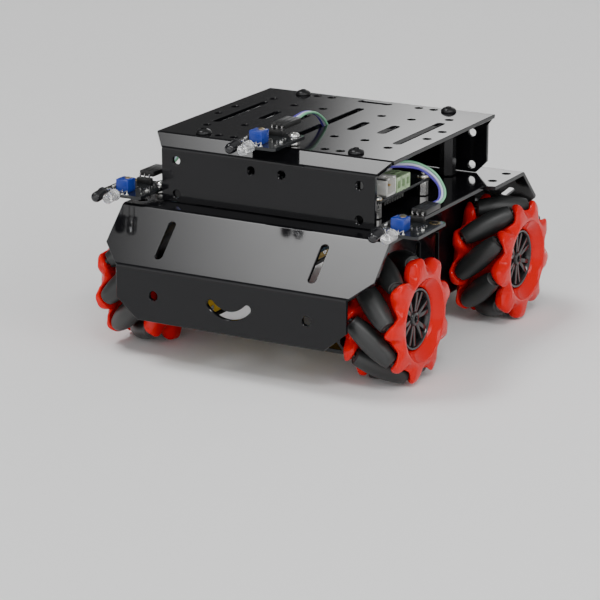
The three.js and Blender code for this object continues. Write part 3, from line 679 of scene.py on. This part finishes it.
def pocket(angle):
    """How far out the rollers reach at this angle from the lobe's middle, along the axle."""
    reach = []
    for offset in (LOBE_SHIFT, LOBE_SHIFT - 2 * math.pi / ROLLER_COUNT):
        t = ROLLER_CENTRE * math.sin(angle + offset)
        reach.append(min(t + ROLLER_SLOPE, ROLLER_END - t))
    return max(reach)


def soft_max(a, b, blend):
    """The larger of two values, rounded where they cross."""
    gap = max(0.0, blend - abs(a - b))
    return max(a, b) + gap * gap / (4 * blend)


def rim_section(angle):
    """Closed section of a side plate at an angle from a lobe's middle, as (radius, distance out)."""
    wave = 0.5 + 0.5 * math.cos(ROLLER_COUNT * angle)
    swell = wave * wave * (3 - 2 * wave)
    tip = NOTCH_RADIUS + (LOBE_TIP - NOTCH_RADIUS) * swell
    inside = min(soft_max(pocket(angle) + 0.5, POCKET_FLOOR, 2.0), POCKET_CEILING)
    middle = inside + 0.4 * (HALF_WIDTH - inside)
    dome = []
    for k in range(1, 13):
        a = math.pi / 2 * k / 12
        face = HALF_WIDTH - LOBE_DROP * (1 - swell) * math.sin(a) ** 1.5
        rise = max(face, middle + 0.4) - middle
        dome.append((RIM_CREST + (tip - RIM_CREST) * math.sin(a) ** 0.9,
                     middle + rise * math.cos(a) ** 0.75))
    tuck = min(2.2, middle - inside)
    under = [(tip - tuck * (1 - math.cos(a)), middle - (middle - inside) * math.sin(a))
             for a in [math.pi / 2 * k / 5 for k in range(1, 6)]]
    cone_foot, cone_z = HUB_RADIUS + 0.35, 10.9
    lip = [(HUB_RADIUS, 8.0), (HUB_RADIUS, 10.2), (cone_foot, cone_z)]
    cone = [(cone_foot + k * 1.05, cone_z + k * 0.85) for k in range(1, 5)]
    shoulder = [(RIM_CREST - 1.0, HALF_WIDTH - 0.2), (RIM_CREST, HALF_WIDTH)]
    root = [(18.2, inside), (17.6, min(inside, 11.2)), (BARREL_RADIUS - 0.1, 8.0)]
    return lip + cone + shoulder + dome + under + root


def rim_form(steps=360):
    """One side plate whose lobes bend over the roller ends; lobe 0 points along +Z."""
    form = bmesh.new()
    rings = []
    lobe = 2 * math.pi / ROLLER_COUNT
    for around in full_turn(steps):
        near = (around + lobe / 2) % lobe - lobe / 2
        rings.append([form.verts.new((x, r * math.sin(around), r * math.cos(around)))
                      for r, x in rim_section(near)])
    skin(form, rings, closed=True)
    return form


def beam_form(start, end, width, height, out=X):
    """A bevelled bar between two points, with height measured along out."""
    start, end = Vector(start), Vector(end)
    along = (end - start).normalized()
    across = out.cross(along).normalized()
    up = along.cross(across).normalized()
    matrix = Matrix((along, across, up)).transposed().to_4x4()
    matrix.translation = start
    form = box_form((0, -width / 2, -height), ((end - start).length, width / 2, 0), 0.28)
    form.transform(matrix)
    return form


def hub_cover(made):
    """Black cover in the hub recess: a ring, six forked spokes and a boss with its screw."""
    back = [(0, 5.2), (HUB_RADIUS - 0.15, 5.2), (HUB_RADIUS - 0.15, 10.2), (HUB_RADIUS - 0.5, 10.7),
            (HUB_RADIUS - 1.3, 10.6), (HUB_RADIUS - 1.7, 10.0), (HUB_RADIUS - 2.2, 7.0), (0, 6.4)]
    made.turned("hub", back, 64, (0, 0, 0), X)
    boss = [(0, 6), (4.0, 6), (3.6, 9.4), (3.0, 10.2), (1.9, 10.4), (1.5, 10.0), (1.4, 8.6), (0, 8.5)]
    made.turned("hub", boss, 36, (0, 0, 0), X)
    made.turned("screw", button_head(1.25, 0.7, 0.5), 20, (8.5, 0, 0), X)
    root, tip, root_face, tip_face = 2.6, 12.6, 9.6, 10.35
    for angle in full_turn(6):
        for fork in (-1, 1):
            inner, outer = angle + fork * 0.12, angle + fork * 0.2
            start = (root_face, root * math.sin(inner), root * math.cos(inner))
            end = (tip_face, tip * math.sin(outer), tip * math.cos(outer))
            made.take(beam_form(start, end, width=2.1, height=2.6), "hub")


def wheel_mesh(name, lean):
    """A wheel with +X outwards and roller 1 straight up; lean 1 is the mirror of lean -1."""
    made = Assembled()
    lobe_turn = Matrix.Rotation(-LOBE_SHIFT, 4, "X")
    made.take(rim_form(), "red", lobe_turn)
    made.take(rim_form(), "red", Matrix.Rotation(math.pi, 4, "Z") @ lobe_turn)
    axle = [(0, -18), (2.6, -18), (2.9, -17.7), (3.0, -10), (5.6, -9.6), (6, -9), (6, 1.5)]
    ridge = BARREL_RADIUS + 0.5
    drum = [(HUB_RADIUS - 0.3, 1.9), (HUB_RADIUS, 1.6), (HUB_RADIUS, -9), (BARREL_RADIUS, -9),
            (ridge, -6), (BARREL_RADIUS, -3), (BARREL_RADIUS, 3), (ridge, 6), (BARREL_RADIUS, 9),
            (HUB_RADIUS, 9), (HUB_RADIUS - 0.2, 4.6), (0, 4.4)]
    made.turned("red", axle + drum, 64, (0, 0, 0), X)
    hub_cover(made)
    if lean > 0:
        made.bm.transform(Matrix.Scale(-1, 4, Y))
        bmesh.ops.reverse_faces(made.bm, faces=made.bm.faces)
    return made.mesh(name)


def roller_mesh():
    """Rubber barrel with a lipped end, its end plugs and its steel pin, along Z. The end plugs' lighter
    grey is painted highlight for the light edge at the roller ends.
    """
    def barrel_radius(t):
        return WHEEL_RADIUS - math.hypot(ROLLER_CENTRE, t * ROOT_HALF)
    made = Assembled()
    reach = ROLLER_HALF_LENGTH - 1.0
    stations = [reach * (i / 12 - 1) for i in range(25)]
    ends = [(2.2, -12.5), (2.7, -13.0), (3.35, -13.0), (3.72, -12.75), (3.82, -12.4), (3.86, -12.15)]
    end_step, recess, plug_seat, pin_start, pin_end = 0.16, 12.4, 12.3, 12.6, 14.6
    profile = ends + [(barrel_radius(t) - (end_step if abs(t) == reach else 0), t) for t in stations]
    profile += [(r, -t) for r, t in reversed(ends)]
    made.turned("rubber", [(0, -recess)] + profile + [(0, recess)], 48)
    plug = [(0, 0), (2.75, 0), (2.75, 0.45), (1.9, 0.75), (0, 0.75)]
    for sign in (-1, 1):
        # The plug's lighter grey is painted highlight for the light edge at the roller end.
        made.turned("lip", plug, 32, (0, 0, sign * plug_seat), Z * sign)
        made.rod("screw", (0, 0, sign * pin_start), (0, 0, sign * pin_end), 1.35)
    return made.mesh("roller_barrel")


def wheels_and_rollers():
    meshes = {1: wheel_mesh("wheel_rim_a", 1), -1: wheel_mesh("wheel_rim_b", -1)}
    barrel = roller_mesh()
    joints = {joint["child"]: joint for joint in frame["joints"]}
    for body in [b for b in frame["bodies"] if b.startswith("wheel_")]:
        centre = Vector(joints[body]["pos_m"])
        place = body.removeprefix("wheel_")
        first = joints[f"roller_{place}_1"]
        outwards = 1 if centre.x > 0 else -1
        arm, axis = Vector(first["pos_m"]) - centre, Vector(first["axis"])
        spin = math.atan2(-arm.y * outwards, arm.z)
        lean = -1 if axis.x * outwards > 0 else 1
        face = Matrix.Identity(4) if outwards > 0 else Matrix.Rotation(math.pi, 4, "Z")
        matrix = Matrix.Translation(centre) @ face @ Matrix.Rotation(spin, 4, "X")
        place_piece(f"{body}_rim", meshes[lean], body, matrix, body)
        for i in range(1, ROLLER_COUNT + 1):
            node = f"roller_{place}_{i}"
            joint = joints[node]
            stand = Vector(joint["axis"]).to_track_quat("Z", "Y").to_matrix().to_4x4()
            spot = Matrix.Translation(joint["pos_m"]) @ stand
            place_piece(f"{node}_barrel", barrel, node, spot, node)


# ---- Sensors ----

BOARD_THICK = 1.6
SENSOR_RISE = 2.5
SENSOR_TOP = SENSOR_RISE + BOARD_THICK
PLUG_REAR = 14.5
LED_X = 3.2
LED_REAR = -32.4
LED_RADIUS = 2.5
LEAD_SPLAY = 1.27
LEAD_HOLE_Y = -24.3
LED_AXIS = Vector((0, -math.cos(math.radians(6)), -math.sin(math.radians(6))))
PIN_PITCH = 2.54
PIN_ROW_Y = -1.55


def ring_form(x, y, z, inner, outer, height):
    profile = [(inner, 0), (outer, 0), (outer, height), (inner, height)]
    return turned_form(profile, 28, (x, y, z), closed=True)


def add_diode(made, x, clear):
    """A 5 mm diode lying forwards over the board's edge, its two leads bent down into it."""
    rear = Vector((x, LED_REAR, SENSOR_TOP + 1.8))
    dome = points_on_arc(0, 6.1, LED_RADIUS, 0, math.pi / 2 * 0.9, 9)
    flange = [(0, 0), (2.7, 0), (2.85, 0.15), (2.85, 0.9), (2.72, 1.05), (LED_RADIUS, 1.1)]
    profile = flange + dome + [(0, 6.1 + LED_RADIUS)]
    made.turned("clear_led" if clear else "dark_led", profile, 40, rear, LED_AXIS)
    if clear:
        inner = rear + LED_AXIS * 0.6
        made.rod("nickel", inner + X * 0.7, inner + X * 0.7 + LED_AXIS * 3.6, 0.35, 0.1, 12)
        cup = inner - X * 0.75
        made.rod("nickel", cup, cup + LED_AXIS * 3.0, 0.35, 0.1, 12)
        made.turned("nickel", [(0, 0), (0.5, 0), (1.15, 1.1), (1.0, 1.1), (0, 0.4)], 20,
                    cup + LED_AXIS * 2.8, LED_AXIS)
    for dx in (-LEAD_SPLAY, LEAD_SPLAY):
        bend = Vector((x + dx, LEAD_HOLE_Y, rear.z))
        made.rod("nickel", rear + X * dx - LED_AXIS * 0.05, bend, 0.27, 0.08, 12)
        made.rod("nickel", bend + Z * 0.24, bend - Z * 1.9, 0.27, 0.08, 12)
        made.turned("solder", [(0, 0), (0.8, 0), (0.45, 0.45), (0, 0.6)], 16,
                    (x + dx, LEAD_HOLE_Y, SENSOR_TOP - 0.02))


def add_trimmer(made, z):
    made.box("blue", (-3.3, -21.7, z + 0.3), (3.3, -14.9, z + 6.0), 0.35, 3)
    made.box("blue", (-3.05, -21.45, z - 0.05), (3.05, -15.15, z + 0.5), 0.1)
    made.turned("brass", [(0, 0), (1.5, 0), (1.5, 0.35), (1.3, 0.45), (0, 0.45)], 28,
                (0.6, -17.2, z + 5.95))
    # A dark bar across the brass cap: painted shade of its slot.
    made.box("chip", (-0.6, -17.4, z + 6.2), (1.8, -17.0, z + 6.42), 0.05)


def add_pins_and_plug(made, z):
    made.box("black", (-3.8, -2.8, z - 0.02), (3.8, -0.3, z + 2.5), 0.25)
    centre, pin, half = z + 4.15, 0.32, 1.25
    front, rear = PIN_ROW_Y - pin, PIN_ROW_Y + pin
    for k in (-1, 0, 1):
        x = k * PIN_PITCH
        made.box("nickel", (x - pin, front, z + 2.3), (x + pin, rear, centre + 0.3), 0.1)
        made.box("nickel", (x - pin, front, centre - pin), (x + pin, 0.5, centre + pin), 0.1)
        made.turned("solder", [(0, 0), (0.7, 0), (0.4, 0.5), (0, 0.65)], 14,
                    (x, PIN_ROW_Y, SENSOR_RISE + 0.02), -Z)
        low, high = (x - half, 0, centre - half), (x + half, PLUG_REAR, centre + half)
        made.box("black", low, high, 0.22)
        made.box("chip", (x - 0.55, 4.2, centre + 1.1), (x + 0.55, 8.4, centre + 1.3), 0.06)


def add_small_parts(made, z):
    """The comparator chip with its legs, the small two-ended parts and two indicator lamps."""
    made.box("chip", (-9.6, -12.2, z), (-5.4, -7.4, z + 1.5), 0.15)
    for k in range(4):
        y = -11.7 + k * PIN_PITCH / 2
        for x in (-10.4, -5.4):
            made.box("solder", (x, y - 0.2, z), (x + 0.8, y + 0.2, z + 0.5), 0.06)
    for x, y, along_x in ((6.8, -9.5, True), (6.8, -11.8, True), (6.8, -7.2, True), (-1.6, -11, False),
                          (1.4, -11, False), (9.6, -19.5, False), (-9.4, -19, False), (-7.4, -19, False)):
        for long, wide, high, bevel, key in ((0.85, 0.42, 0.45, 0.08, "solder"),
                                             (0.85 * 0.6, 0.42 * 1.02, 0.5, 0.05, "chip")):
            a, b = (long, wide) if along_x else (wide, long)
            made.box(key, (x - a, y - b, z), (x + a, y + b, z + high), bevel)
    for x in (-9.2, 9.2):
        made.box("white", (x - 0.5, -15.3, z), (x + 0.5, -13.7, z + 0.6), 0.12)


def sensor_mesh(name, stand_side):
    """Sensor board in its own frame, as in CAD: origin on the sheet below the two holes."""
    made = Assembled()
    half, front, rear, corner, stand = 12, -25.5, 4, 1.2, stand_side * 8
    right = [(half - corner, front), (half, front + corner), (half, rear - corner), (half - corner, rear)]
    hole = (-stand, 0)
    board = extruded_form(mirrored(right), BOARD_THICK, 0.12, [round_hole(*hole, 1.6)])
    made.take(board, "board", Matrix.Translation((0, 0, SENSOR_RISE)))
    for z in (SENSOR_TOP - 0.01, SENSOR_RISE - 0.05):
        made.take(ring_form(*hole, z, 1.62, 2.7, 0.06), "gold")
    made.take(extruded_form([(x + stand, y) for x, y in hexagon(2.75)], SENSOR_RISE - 0.3, 0.15),
              "nickel", Matrix.Translation((0, 0, 0.3)))
    made.turned("nickel", button_head(2.7, 1.8, 0.9), 28, (stand, 0, SENSOR_TOP))
    add_diode(made, -LED_X, False)
    add_diode(made, LED_X, True)
    add_trimmer(made, SENSOR_TOP)
    add_pins_and_plug(made, SENSOR_TOP)
    add_small_parts(made, SENSOR_TOP)
    return made.mesh(name)


def sensors():
    for side, stand_side in (("right", -1), ("left", 1), ("top", 1)):
        node = f"sensor_{side}"
        low, high = corners_of(node)
        origin = Vector(((low.x + high.x) / 2, high.y - PLUG_REAR, low.z - 0.3))
        name = node + "_board"
        place = Matrix.Translation(origin * MM)
        place_piece(name, sensor_mesh(name, stand_side), node, place)


# ---- Controller board ----

CARD_BOTTOM, CARD_TOP = 77.0, 78.6
CARD_HALF = 49.5
CARD_CORNER = 1.5
HOLE_INSET = 3.0
SOCKETS = {"right": (28, -39.5), "left": (-28, -39.5), "top": (0, 2)}


def add_white_socket(made):
    """Shrouded socket on the right edge, its mouth facing outwards. A thin dark slab at the back of its
    cavity is painted shade.
    """
    low, high = Vector((39, -36, CARD_TOP)), Vector((49.6, -26.4, 87.2))
    wall, pin_foot, pin_top = 1.0, 82.4, 83.3
    made.box("white", low, (low.x + 3.5, high.y, high.z), 0.2)
    made.box("white", (low.x, low.y, low.z), (high.x, high.y, low.z + wall), 0.2)
    roof = high.z - wall
    for front, rear, mouth in ((low.y, low.y + 3.2, high.x), (high.y - 3.2, high.y, high.x),
                               (low.y + 3, high.y - 3, high.x - 4)):
        made.box("white", (low.x, front, roof), (mouth, rear, high.z), 0.2)
    for y in (low.y, high.y - wall):
        made.box("white", (low.x, y, low.z), (high.x, y + wall, high.z), 0.2)
    # A thin dark slab over the white back wall inside the mouth: painted shade of the cavity, not a part.
    painted_cavity_shade = (low.x + 3.45, low.y + wall, low.z + wall)
    made.box("chip", painted_cavity_shade, (low.x + 3.7, high.y - wall, roof), 0.05)
    for k in (-1, 1):
        y = (low.y + high.y) / 2 + k * 1.9
        made.box("gold", (low.x + 3, y - 0.45, pin_foot), (high.x - 1.5, y + 0.45, pin_top), 0.12)


def add_green_terminal(made):
    """Pluggable screw terminal: three wire mouths facing outwards, three screws on top. The mouths' dark
    backs and the screws' dark slots are painted shade.
    """
    low, high, ways = Vector((40, -26, CARD_TOP)), Vector((49.9, -12.5, 85.6)), 3
    step = (high.y - low.y) / ways
    made.box("green", low, (high.x - 2.2, high.y, high.z), 0.3)
    for k in range(ways):
        y = low.y + k * step
        for edge in (y + 0.05, y + step - 0.75):
            made.box("green", (high.x - 3, edge, low.z), (high.x, edge + 0.7, high.z), 0.2)
        for foot, top in ((low.z, low.z + 1.7), (high.z - 1.9, high.z)):
            made.box("green", (high.x - 3, y + 0.2, foot), (high.x - 0.2, y + step - 0.2, top), 0.2)
        # A thin dark slab at the back of each wire mouth: painted shade of the hole.
        painted_mouth_shade_low = (high.x - 2.4, y + 0.9, low.z + 1.6)
        made.box("chip", painted_mouth_shade_low, (high.x - 2.0, y + step - 0.9, high.z - 1.8), 0.05)
        screw = Vector((low.x + 4.2, y + step / 2, high.z - 0.1))
        made.take(ring_form(*screw, 1.35, 1.75, 0.35), "green")
        made.turned("nickel", [(0, 0), (1.3, 0), (1.3, 0.2), (0, 0.25)], 24, screw)
        # A dark bar across the screw head: painted shade of its slot.
        made.box("chip", screw + Vector((-1.1, -0.2, 0.15)), screw + Vector((1.1, 0.2, 0.3)), 0.03)


def add_pin_socket(made, x, y, top=84.0):
    """Three-way socket with the cable's plug seated in it, standing on the board."""
    made.box("black", (x - 4.4, y - 1.6, CARD_TOP), (x + 4.4, y + 1.6, CARD_TOP + 2.4), 0.2)
    half, deep = 1.24, 1.25
    for k in (-1, 0, 1):
        way = x + k * PIN_PITCH
        made.box("black", (way - half, y - deep, CARD_TOP + 2.2), (way + half, y + deep, top), 0.22)
        made.box("gold", (way - 0.5, y - 1.3, top - 3.4), (way + 0.5, y - 1.2, top - 1.4), 0.03)


def add_chip(made, low, high, pins):
    """A flat package with rows of legs along its two long sides."""
    made.box("chip", low, high, 0.25)
    step = (high[0] - low[0] - 1.5) / (pins - 1)
    for k in range(pins):
        x = low[0] + 0.75 + k * step
        for y in (low[1] - 0.9, high[1] - 0.1):
            made.box("solder", (x - 0.22, y, low[2]), (x + 0.22, y + 1.0, low[2] + 0.9), 0.08)


def add_capacitor(made, x, y, radius, height):
    foot = [(0, 0), (radius - 0.3, 0), (radius, 0.3), (radius, 1.1), (radius - 0.25, 1.35)]
    top = [(radius, height - 0.3), (radius - 0.4, height), (radius - 1.0, height - 0.08),
           (0, height - 0.05)]
    made.turned("steel", foot + [(radius, 1.6)] + top, 32, (x, y, CARD_TOP))


def controller():
    """The controller board on its four stands, with its sockets, chips and capacitors."""
    low, high = corners_of("controller_board")
    front, rear, edge = low.y, high.y, CARD_HALF - CARD_CORNER
    made = Assembled()
    holes = [(side * (CARD_HALF - HOLE_INSET), y)
             for side in (-1, 1) for y in (front + HOLE_INSET, rear - HOLE_INSET)]
    right = [(edge, front), (CARD_HALF, front + CARD_CORNER), (CARD_HALF, rear - CARD_CORNER),
             (edge, rear)]
    cuts = [round_hole(x, y, 1.6) for x, y in holes]
    board = extruded_form(mirrored(right), BOARD_THICK, 0.12, cuts)
    made.take(board, "board", Matrix.Translation((0, 0, CARD_BOTTOM)))
    for x, y in holes:
        post = extruded_form([(a + x, b + y) for a, b in hexagon(2.6)], CARD_BOTTOM - low.z, 0.2)
        made.take(post, "nickel", Matrix.Translation((0, 0, low.z)))
        made.turned("nickel", button_head(2.75, 1.75, 1.0), 28, (x, y, CARD_TOP))
        made.take(ring_form(x, y, CARD_TOP - 0.02, 1.6, 3.1, 0.07), "gold")
    add_white_socket(made)
    add_green_terminal(made)
    joint, row_x, row_start = [(0, 0), (1.0, 0), (0.6, 0.7), (0.36, 2.4), (0, 2.5)], 48.2, -35
    for k in range(8):
        made.turned("solder", joint, 14, (row_x, row_start + k * PIN_PITCH, CARD_BOTTOM + 0.02), -Z)
    for x, y in SOCKETS.values():
        add_pin_socket(made, x, y)
    add_chip(made, (-18, -27.5, CARD_TOP), (12, -12.5, CARD_TOP + 2.9), 20)
    for y in (-20, -31):
        add_chip(made, (18, y, CARD_TOP), (28, y + 6, CARD_TOP + 1.6), 8)
    made.box("board", (-46, -30, CARD_TOP), (-34, 0, CARD_TOP + 1.4), 0.2)
    made.box("steel", (-45, -28, CARD_TOP + 1.3), (-35, -12, CARD_TOP + 4.2), 0.3)
    made.box("black", (-44.5, -9, CARD_TOP + 1.3), (-35.5, -1, CARD_TOP + 8), 0.4)
    for x, y, radius, height in ((20, 3, 3.2, 7.5), (29, 3, 3.2, 7.5), (-24, -8, 2.5, 5.5)):
        add_capacitor(made, x, y, radius, height)
    for x in (-22, -14, 8):
        for y in (-36, 6):
            made.box("solder", (x, y, CARD_TOP), (x + 3.2, y + 1.6, CARD_TOP + 0.6), 0.12)
            made.box("chip", (x + 0.7, y - 0.02, CARD_TOP), (x + 2.5, y + 1.62, CARD_TOP + 0.7), 0.1)
    name = "controller_card"
    place_piece(name, made.mesh(name), "controller_board")


# ---- Ribbon cables ----

PLUG_END_Y = -33.2
SIDE_PLUG_Z = 77.75
TOP_PLUG_Z = 109.25
SOCKET_ENTRY_Z = 84.3

ROUTES = {
    "top": [
        (0, PLUG_END_Y, TOP_PLUG_Z), (0, -30, TOP_PLUG_Z + 0.4), (0, -25, 110.2), (0, -20, 109.9),
        (0, -15, 108.7), (0, -10.5, 106.6), (0, -6.5, 103.8), (0, -3, 100), (0, -0.8, 96.5),
        (0, 0.8, 92.5), (0, 1.9, 88.5), (*SOCKETS["top"], SOCKET_ENTRY_Z)],
    "right": [
        (72, PLUG_END_Y, SIDE_PLUG_Z), (72, -30.2, 77.7), (72, -26.8, 77.9), (71.9, -24.2, 79.3),
        (71.3, -23, 82), (70, -22.8, 84.8), (67.8, -23.1, 87.6), (64.4, -23.6, 90.2),
        (60.6, -24.2, 91.9), (57, -26.2, 93), (54.4, -29.6, 93.6), (51, -33.6, 93.9),
        (46, -36.6, 93.6), (40, -38.3, 92.4), (34, -39.3, 91), (29.9, -39.5, 89.4),
        (28, -39.5, 87), (*SOCKETS["right"], SOCKET_ENTRY_Z)],
    "left": [
        (-72, PLUG_END_Y, SIDE_PLUG_Z), (-72, -30.2, 77.7), (-71.9, -26.8, 78), (-71, -24.4, 79.8),
        (-69, -24, 82.4), (-66, -25.6, 84.8), (-62.6, -29.4, 86.4), (-59.4, -34.4, 87.2),
        (-56, -39, 87.6), (-51.4, -41, 88.4), (-45.6, -40.4, 89.4), (-39.6, -39.4, 89.8),
        (-34, -39.3, 90), (-29.9, -39.5, 89), (-28, -39.5, 87), (*SOCKETS["left"], SOCKET_ENTRY_Z)],
}
WIRE_RADIUS = 0.6
WIRE_STEP = 1.18
RIPPLE = 0.1
RIPPLE_STEP = 0.37


def smooth_line(places, per_span=6):
    """Catmull-Rom points through the places."""
    points = [Vector(p) for p in places]
    padded = [2 * points[0] - points[1]] + points + [2 * points[-1] - points[-2]]
    line = []
    for a, b, c, d in zip(padded, padded[1:], padded[2:], padded[3:]):
        for k in range(per_span):
            t = k / per_span
            line.append(0.5 * (2 * b + (c - a) * t + (2 * a - 5 * b + 4 * c - d) * t * t
                               + (3 * b - a - 3 * c + d) * t ** 3))
    line.append(points[-1])
    return line


def carried_sides(line, first):
    """A side direction at each point, carried along the line without twisting."""
    side = first.copy()
    sides = []
    for i, point in enumerate(line):
        along = (line[min(i + 1, len(line) - 1)] - line[max(i - 1, 0)]).normalized()
        side = (side - along * side.dot(along)).normalized()
        sides.append((side.copy(), along.cross(side).normalized()))
    return sides


def wire_form(line, sides, offset, sides_round=12):
    """One wire beside the ribbon's line, its distance from it rippling a little."""
    form = bmesh.new()
    rings = []
    for i, (point, (side, up)) in enumerate(zip(line, sides)):
        ripple = 1 + RIPPLE * math.sin(RIPPLE_STEP * i)
        centre = point + side * offset * ripple
        rings.append([form.verts.new(centre + (side * math.cos(a) + up * math.sin(a)) * WIRE_RADIUS)
                      for a in full_turn(sides_round)])
    skin(form, rings)
    form.faces.new(rings[0])
    form.faces.new(rings[-1])
    return form


def ribbon_cables():
    for place, route in ROUTES.items():
        line = smooth_line(route)
        sides = carried_sides(line, X)
        made = Assembled()
        for offset, key in ((-WIRE_STEP, "purple"), (0, "lilac"), (WIRE_STEP, "leaf")):
            made.take(wire_form(line, sides, offset), key)
        name = f"ribbon_{place}"
        ribbon = place_piece(name, made.mesh(name), f"sensor_cable_{place}")


# ---- Stage, light and camera ----

CAMERA_TARGET = Vector((-0.0154, 0.0, 0.0106))
CAMERA_DISTANCE = 1.2606
CAMERA_AZIMUTH = math.radians(28.9)
CAMERA_ELEVATION = math.radians(17.0)
CAMERA_LENS = 155.3
FLOOR_HALF = 9.0
FLOOR_GAP = 0.0002
ROOM_STRENGTH = 0.1
# The glows of the surroundings: a strength, and the ramps over a direction's X, Y and Z that bound it.
GLOWS = {
    "overhead": (15.4, {"X": [(-0.546, 0), (-0.438, 1), (-0.34, 1), (-0.24, 0)],
                        "Y": [(-0.4, 0), (-0.22, 1), (0, 1), (0.15, 0)],
                        "Z": [(0.6, 0), (0.74, 1)]}),
    "behind": (3.4, {"X": [(-0.472, 0), (-0.42, 1), (-0.2, 1), (-0.1, 0)],
                     "Y": [(0.5, 0), (0.65, 1)],
                     "Z": [(0.205, 0.2), (0.237, 1), (0.3, 1), (0.45, 0)]}),
    "front": (1.6, {"Y": [(-0.9, 1), (-0.55, 0)]}),
    "right": (0.42, {"X": [(-0.3, 0), (0.1, 1)]}),
}


def direction(azimuth, elevation):
    """Unit vector from the object; azimuth 0 is towards -Y and grows towards +X, in radians."""
    flat = math.cos(elevation)
    return Vector((math.sin(azimuth) * flat, -math.cos(azimuth) * flat, math.sin(elevation)))


def add_camera():
    data = bpy.data.cameras.new("camera")
    data.lens = CAMERA_LENS
    data.sensor_width = 36.0
    data.clip_start, data.clip_end = 0.01, 100.0
    camera = add_object("camera", data)
    back = direction(CAMERA_AZIMUTH, CAMERA_ELEVATION)
    camera.location = CAMERA_TARGET + back * CAMERA_DISTANCE
    camera.rotation_mode = "QUATERNION"
    camera.rotation_quaternion = (-back).to_track_quat("-Z", "Y")
    bpy.context.scene.camera = camera


def add_floor():
    form = bmesh.new()
    bmesh.ops.create_grid(form, x_segments=8, y_segments=8, size=FLOOR_HALF)
    mesh = bpy.data.meshes.new("floor")
    form.to_mesh(mesh)
    form.free()
    mesh.materials.append(finish("pale_floor", (0.93, 0.93, 0.93), 0.9, mottle=0.005, bump=0.0))
    floor = add_object("floor", mesh)
    floor.location = (0, 0, CAD_BOX[0].z - FLOOR_GAP)


def add_softbox(name, azimuth, elevation, distance, width, height, power):
    """A rectangular light facing the object, at angles in degrees."""
    data = bpy.data.lights.new(name, "AREA")
    data.shape = "RECTANGLE"
    data.size, data.size_y, data.energy = width, height, power
    light = add_object(name, data)
    back = direction(math.radians(azimuth), math.radians(elevation))
    light.location = back * distance
    light.rotation_mode = "QUATERNION"
    light.rotation_quaternion = back.to_track_quat("Z", "Y")


def ramp_of(tree, source, stops):
    """A smooth ramp of a direction component; stops are (component, strength) pairs."""
    shift = tree.nodes.new("ShaderNodeMapRange")
    named_inputs(shift, {"From Min": -1.0, "From Max": 1.0})
    ramp = tree.nodes.new("ShaderNodeValToRGB")
    ramp.color_ramp.interpolation = "EASE"
    elements = ramp.color_ramp.elements
    while len(elements) < len(stops):
        elements.new(0.5)
    for element, (component, strength) in zip(elements, stops):
        element.position = (component + 1) / 2
        element.color = (strength, strength, strength, 1)
    tree.links.new(source, shift.inputs["Value"])
    tree.links.new(shift.outputs["Result"], ramp.inputs["Fac"])
    return ramp.outputs["Color"]


def combined(tree, operation, first, second):
    step = tree.nodes.new("ShaderNodeMath")
    step.operation = operation
    for socket, value in zip(step.inputs, (first, second)):
        if isinstance(value, float):
            socket.default_value = value
        else:
            tree.links.new(value, socket)
    return step.outputs["Value"]


def add_surroundings():
    """A dim room with the glows on it, seen both as light and as reflections."""
    world = bpy.data.worlds.new("studio")
    bpy.context.scene.world = world
    world.use_nodes = True
    tree = world.node_tree
    place = tree.nodes.new("ShaderNodeTexCoord")
    split = tree.nodes.new("ShaderNodeSeparateXYZ")
    tree.links.new(place.outputs["Generated"], split.inputs["Vector"])
    total = ROOM_STRENGTH
    for strength, ramps in GLOWS.values():
        glow = strength
        for axis, stops in ramps.items():
            glow = combined(tree, "MULTIPLY", ramp_of(tree, split.outputs[axis], stops), glow)
        total = combined(tree, "ADD", glow, total)
    tree.links.new(total, tree.nodes["Background"].inputs["Color"])


def add_lights():
    add_surroundings()
    add_softbox("right_fill", 72, 32, distance=1.7, width=0.6, height=0.8, power=6)
    add_softbox("front_key", 40, 50, distance=2.0, width=0.5, height=0.25, power=9)


add_camera()
ribbon_cables()
main_plate()
top_deck()
motor_rails()
deck_pillars()
gear_motors()
battery()
wheels_and_rollers()
sensors()
controller()
add_floor()
add_lights()
